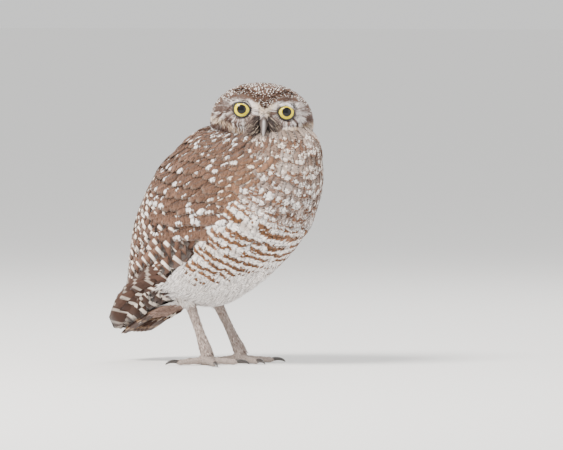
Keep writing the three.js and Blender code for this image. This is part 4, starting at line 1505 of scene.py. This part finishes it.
def bill_half(name, table, node, keel):
    """One half of the bill; the upper one has a keel, which narrows its ridge, and nostrils."""
    rows = refine(table, 30)
    a = turns(32)
    top = vectors(0, rows[:, 0], rows[:, 1])
    under = vectors(0, rows[:, 2], rows[:, 3])
    middle, half = (top + under) / 2, (top - under) / 2
    narrow = 1 - keel * np.clip(np.sin(a), 0, 1) ** 1.5
    ring = middle[:, None] + half[:, None] * np.sin(a)[None, :, None]
    ring[..., 0] += rows[:, 4][:, None] * np.cos(a) * narrow
    if keel:
        pit = from_nostril(ring, [1, 1.5, 0.9])
        ring[..., 0] -= np.sign(ring[..., 0]) * 0.9 * np.exp(-((pit / 0.9) ** 2))
    obj = closed_tube(name, from_head(ring), bill_shader)
    local = to_head(vertices_of(obj))
    x, y, z = np.moveaxis(local, -1, 0)
    # painted highlight: pale along the top of the upper bill, away from the nostrils; the lower bill gets
    # only a little of it
    ridge = np.full(len(local), 0.12)
    if keel:
        ridge = near_line(x, 0, 1.15) * smooth(z, -5.0, -8.5) * smooth(-y, 28, 31.5)
        ridge = ridge * smooth(from_nostril(local, [1.4, 1.5, 1.0]), 0.6, 1.2)
    layer = obj.data.attributes.new("ridge", "FLOAT", "POINT")
    layer.data.foreach_set("value", ridge.astype(np.float32))
    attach(obj, "root")
    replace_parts(obj, node)


bill_shader = bill_material()
bill_half("bill_upper_horn", UPPER_BILL, "bill_upper", 0.45)
bill_half("bill_lower_horn", LOWER_BILL, "bill_lower", 0.0)


# Bristles round the bill's root
BRISTLES = 1100

bristles = Vanes("bill_bristles", 6, 3, tuft_profile, 0.1)
n = BRISTLES
side = np.where(rng.random(n) < 0.5, -1.0, 1.0)
height = -5.5 - 13 * rng.random(n)
beside = 2.0 + 5.1 * rng.random(n) ** 1.3
root = head_point(vectors(side * beside, -20, height + 10)) + np.array([0, 0.6, 0])
v = np.linspace(0, 1, bristles.m)[:, None]
long = 5.0 + 3.5 * rng.random(n)
forward = vectors(
    side * (0.25 + 0.5 * rng.random(n)), -0.85 - 0.2 * rng.random(n), -0.15 - 0.5 * rng.random(n)
)
curl = vectors(side * (0.5 + 0.6 * rng.random(n)), 0.55, -0.9 - 0.2 * rng.random(n))
bend = unit(forward)[:, None] * v + curl[:, None] * 0.42 * v**2
path = root[:, None] + long[:, None, None] * bend
shown = np.broadcast_to(np.array([0, -1.0, 0.2]), path.shape)
near_bill = smooth(beside, 5.5, 2.5)
pale = rng.random(n) ** 1.6 * (1 - 0.8 * near_bill)
pale = np.clip(pale + (1 - near_bill) * 0.6 * rng.random(n), 0, 1)
tone = mix(srgb(46, 34, 31), srgb(158, 136, 126), pale)
tone = mix(tone, CREAM, 0.75 * (rng.random(n) < 0.12))
width = 0.42 + 0.25 * rng.random(n)
bristles.add(from_head(path), turned_head(shown), width, tone, WHITE, look_numbers(0, 0, 0, n), cup=0.4)
bristles.build(facial, head_map)


# Legs and feet
LEGS = {
    "right": dict(heel=[-17.5, 38, 50], ankle=[-19, 19, 10]),
    "left": dict(heel=[17.5, 38.5, 50], ankle=[19, 15, 10]),
}
TOES = {
    "right": [("inner", 38, 18), ("middle", -38, 21), ("outer", -126, 18), ("hind", 162, 14)],
    "left": [("inner", -16, 18), ("middle", 50, 21), ("outer", 128, 18), ("hind", -160, 14)],
}
PAD_LONG, CLAW_LENGTH = 7.2, 9.0


def leg_material():
    """Grey skin in small scales with darker gaps between them."""
    t = Nodes("leg_skin")
    place = t.tree.nodes.new("ShaderNodeTexCoord").outputs["Object"]
    cells = t.node("ShaderNodeTexVoronoi", Vector=place, Scale=900.0)
    cells.feature = "DISTANCE_TO_EDGE"
    gaps = t.ramp(cells.outputs["Distance"], 0.02, 0.14)
    tone = t.ramp(t.noise(300.0, 4.0), 0.35, 0.65)
    colour = t.blend(tone, (0.3, 0.235, 0.205, 1), (0.46, 0.39, 0.35, 1))
    colour = t.blend(t.line(gaps, -0.55, 0.55), colour, (0.12, 0.085, 0.07, 1))
    return t.finish(colour, roughness=0.7, bump=gaps, bump_strength=0.5, bump_distance=0.0003)


def sample_faces(obj, count, keep=None):
    """Random points spread evenly over a mesh, with their normals, in the design frame."""
    mesh = obj.data
    mesh.calc_loop_triangles()
    tri = np.empty(len(mesh.loop_triangles) * 3, np.int32)
    mesh.loop_triangles.foreach_get("vertices", tri)
    corners = vertices_of(obj)[tri.reshape(-1, 3)]
    cross = np.cross(corners[:, 1] - corners[:, 0], corners[:, 2] - corners[:, 0])
    area = np.linalg.norm(cross, axis=1)
    pick = rng.choice(len(area), count, p=area / area.sum())
    r = np.sqrt(rng.random(count))[:, None]
    s = rng.random(count)[:, None]
    a, b, c = corners[pick, 0], corners[pick, 1], corners[pick, 2]
    points = a * (1 - r) + b * r * (1 - s) + c * r * s
    normals = unit(cross[pick])
    if keep is not None:
        chosen = keep(points)
        points, normals = points[chosen], normals[chosen]
    return points, normals


def tufts_on(vanes, points, normals, flow, length, width, stand, tone):
    """Short plain feathers on points of a piece, which lie along flow and stand up a little."""
    n = len(points)
    flow = flow + rng.normal(0, 0.16, points.shape)
    flow = unit(flow - (flow * normals).sum(-1, keepdims=True) * normals)
    v = np.linspace(0, 1, vanes.m)[:, None]
    rise = -0.25 + each(stand, n)[:, None, None] * v**1.3
    path = points[:, None] + flow[:, None] * (each(length, n)[:, None, None] * v)
    path = path + normals[:, None] * rise
    normal = np.broadcast_to(normals[:, None], path.shape)
    none = np.zeros((n, 4))
    vanes.add(path, normal, width, tone, WHITE, none, cup=0.3, tilt=rng.normal(0, 0.15, n))


LEG_TONE, LEG_BROWN, TOE_BROWN = srgb(200, 183, 174), srgb(112, 90, 82), srgb(120, 98, 90)
TOE_TOP, TOE_UNDER = 9, 2.6

leg_shader = leg_material()
for name in ("right", "left"):
    leg_nodes = [f"shank_{name}", f"foot_{name}"] + [f"toe_{name}_{toe}" for toe, _, _ in TOES[name]]
    leg = grown_from(f"leg_{name}", leg_nodes, 0.0006, leg_shader, 5)
    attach(leg, "root")
    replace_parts(leg, *leg_nodes)

    heel, ankle = np.array(LEGS[name]["heel"]), np.array(LEGS[name]["ankle"])
    down_the_leg = unit(ankle - heel)
    bristles = Vanes(f"leg_{name}_bristles", 4, 3, tuft_profile, 0.15)
    points, normals = sample_faces(leg, 2600, lambda p: p[:, 2] > 8)
    n = len(points)
    tone = vary(mix(LEG_TONE, LEG_BROWN, rng.random(n) ** 2), n, 0.12)
    length, stand = 3.2 + rng.random(n), 0.5 + 0.25 * rng.random(n)
    tufts_on(bristles, points, normals, down_the_leg, length, 0.95, stand, tone)

    points, normals = sample_faces(leg, 1500, lambda p: (p[:, 2] < TOE_TOP) & (p[:, 2] > TOE_UNDER))
    outward = unit((points - ankle) * np.array([1, 1, 0]))
    n = len(points)
    tone = vary(mix(LEG_TONE, TOE_BROWN, rng.random(n) ** 2), n, 0.12)
    tufts_on(bristles, points, normals, outward, 1.9 + 0.8 * rng.random(n), 0.5, 0.35, tone)
    bristles.build(facial, leg_map)

    points, normals = sample_faces(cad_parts[f"thigh_{name}"], 900)
    trousers = Vanes(f"thigh_{name}_down", 5, 3, tuft_profile, 0.2)
    n = len(points)
    tone = vary(mix(WHITE, CREAM, 0.4 * rng.random(n)), n, 0.05)
    tufts_on(trousers, points, normals, down_the_leg, 6 + 3 * rng.random(n), 1.8, 1.0, tone)
    trousers.build(down, leg_map)


def claw_material():
    t = Nodes("claw")
    noise = t.noise(800.0, 2.0)
    t.gloss(0.3, 0.2)
    colour = t.blend(noise, (0.012, 0.01, 0.01, 1), (0.06, 0.048, 0.042, 1))
    return t.finish(colour, roughness=0.38, bump=noise, bump_strength=0.1)


def claw_rings(ankle, turn, end):
    """Rings of one claw, which leaves the toe's end and curves down to the ground."""
    # distance from the ankle, height and radius
    knots = np.array(
        [
            [end - 3, 2.4, 1.6],
            [end + 0.5, 3.2, 1.55],
            [end + CLAW_LENGTH * 0.5, 3.1, 1.3],
            [end + CLAW_LENGTH * 0.85, 1.9, 0.8],
            [end + CLAW_LENGTH, 0.6, 0.22],
        ]
    )
    path = refine(knots, 18)
    up = np.array([0, 0, 1.0])
    way = np.array([math.sin(turn * RAD), -math.cos(turn * RAD), 0])
    points = ankle * np.array([1, 1, 0]) + way * path[:, :1] + up * path[:, 1:2]
    tangent = unit(np.gradient(points, axis=0))
    side = unit(np.cross(tangent, up))
    over = np.cross(side, tangent)
    b = turns(14)[None, :, None]
    section_round = side[:, None] * np.cos(b) * 0.85 + over[:, None] * np.sin(b)
    rings = points[:, None] + section_round * path[:, 2][:, None, None]
    rings[..., 2] = np.maximum(rings[..., 2], 0.25)
    return rings


claw_shader = claw_material()
for name in ("right", "left"):
    ankle = np.array(LEGS[name]["ankle"], float)
    for toe, turn, length in TOES[name]:
        rings = claw_rings(ankle, turn, PAD_LONG + length)
        claw = closed_tube(f"claw_{name}_{toe}_horn", rings, claw_shader)
        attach(claw, "root")
        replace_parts(claw, f"claw_{name}_{toe}")


# Floor, light and camera
FLOOR_REACH = 60.0
WORLD_COLOUR = (0.95, 0.95, 0.94, 1)
CAMERA_AZIMUTH, CAMERA_RISE, CAMERA_FAR = -52 * RAD, 2.0 * RAD, 5.0
PHOTO_WIDTH, MM_PER_PIXEL, SENSOR_WIDTH = 563, 0.8, 36
UP = np.array([0, 0, 1.0])

floor_mesh = bpy.data.meshes.new("floor")
floor_corners = [(x * FLOOR_REACH, y * FLOOR_REACH, 0) for x, y in ((-1, -1), (1, -1), (1, 1), (-1, 1))]
floor_mesh.from_pydata(floor_corners, [], [(0, 1, 2, 3)])
floor_mesh.materials.append(Nodes("floor").finish((0.95, 0.945, 0.935, 1), roughness=0.95))
floor = link_object("floor", floor_mesh)

world = bpy.data.worlds.new("studio")
bpy.context.scene.world = world
world.use_nodes = True
background = world.node_tree.nodes["Background"]
background.inputs["Color"].default_value = WORLD_COLOUR
background.inputs["Strength"].default_value = 1.0

look = np.array([math.sin(CAMERA_AZIMUTH), -math.cos(CAMERA_AZIMUTH), 0.0])
right = np.array([math.cos(CAMERA_AZIMUTH), math.sin(CAMERA_AZIMUTH), 0.0])
target = to_row(right * 33.2 + UP * 112.0)


def aimed(name, data, place):
    """A camera or a light at a place, turned to the target."""
    obj = link_object(name, data)
    obj.location = place
    obj.rotation_euler = Vector(target - place).to_track_quat("-Z", "Y").to_euler()
    return obj


camera_data = bpy.data.cameras.new("camera")
camera_data.sensor_width = SENSOR_WIDTH
camera_data.lens = SENSOR_WIDTH * CAMERA_FAR / (PHOTO_WIDTH * MM_PER_PIXEL * MM)
camera_data.clip_end = 200
toward_camera = look * math.cos(CAMERA_RISE) + UP * math.sin(CAMERA_RISE)
camera = aimed("camera", camera_data, target + CAMERA_FAR * toward_camera)
bpy.context.scene.camera = camera


def area_light(name, offset, size, power, colour):
    """A square light, placed by how far it is to the camera's side, to the right and up."""
    data = bpy.data.lights.new(name, "AREA")
    data.size = size
    data.energy = power
    data.color = colour
    ahead, beside, above = offset
    aimed(name, data, target + look * ahead + right * beside + UP * above)


area_light("key", (0.9, -0.9, 1.5), 0.7, 72, (1.0, 0.96, 0.9))
area_light("fill", (1.2, 1.2, 0.5), 1.2, 7, (0.92, 0.95, 1.0))
area_light("rim", (-1.1, 0.3, 1.2), 0.7, 10, (1.0, 0.98, 0.95))
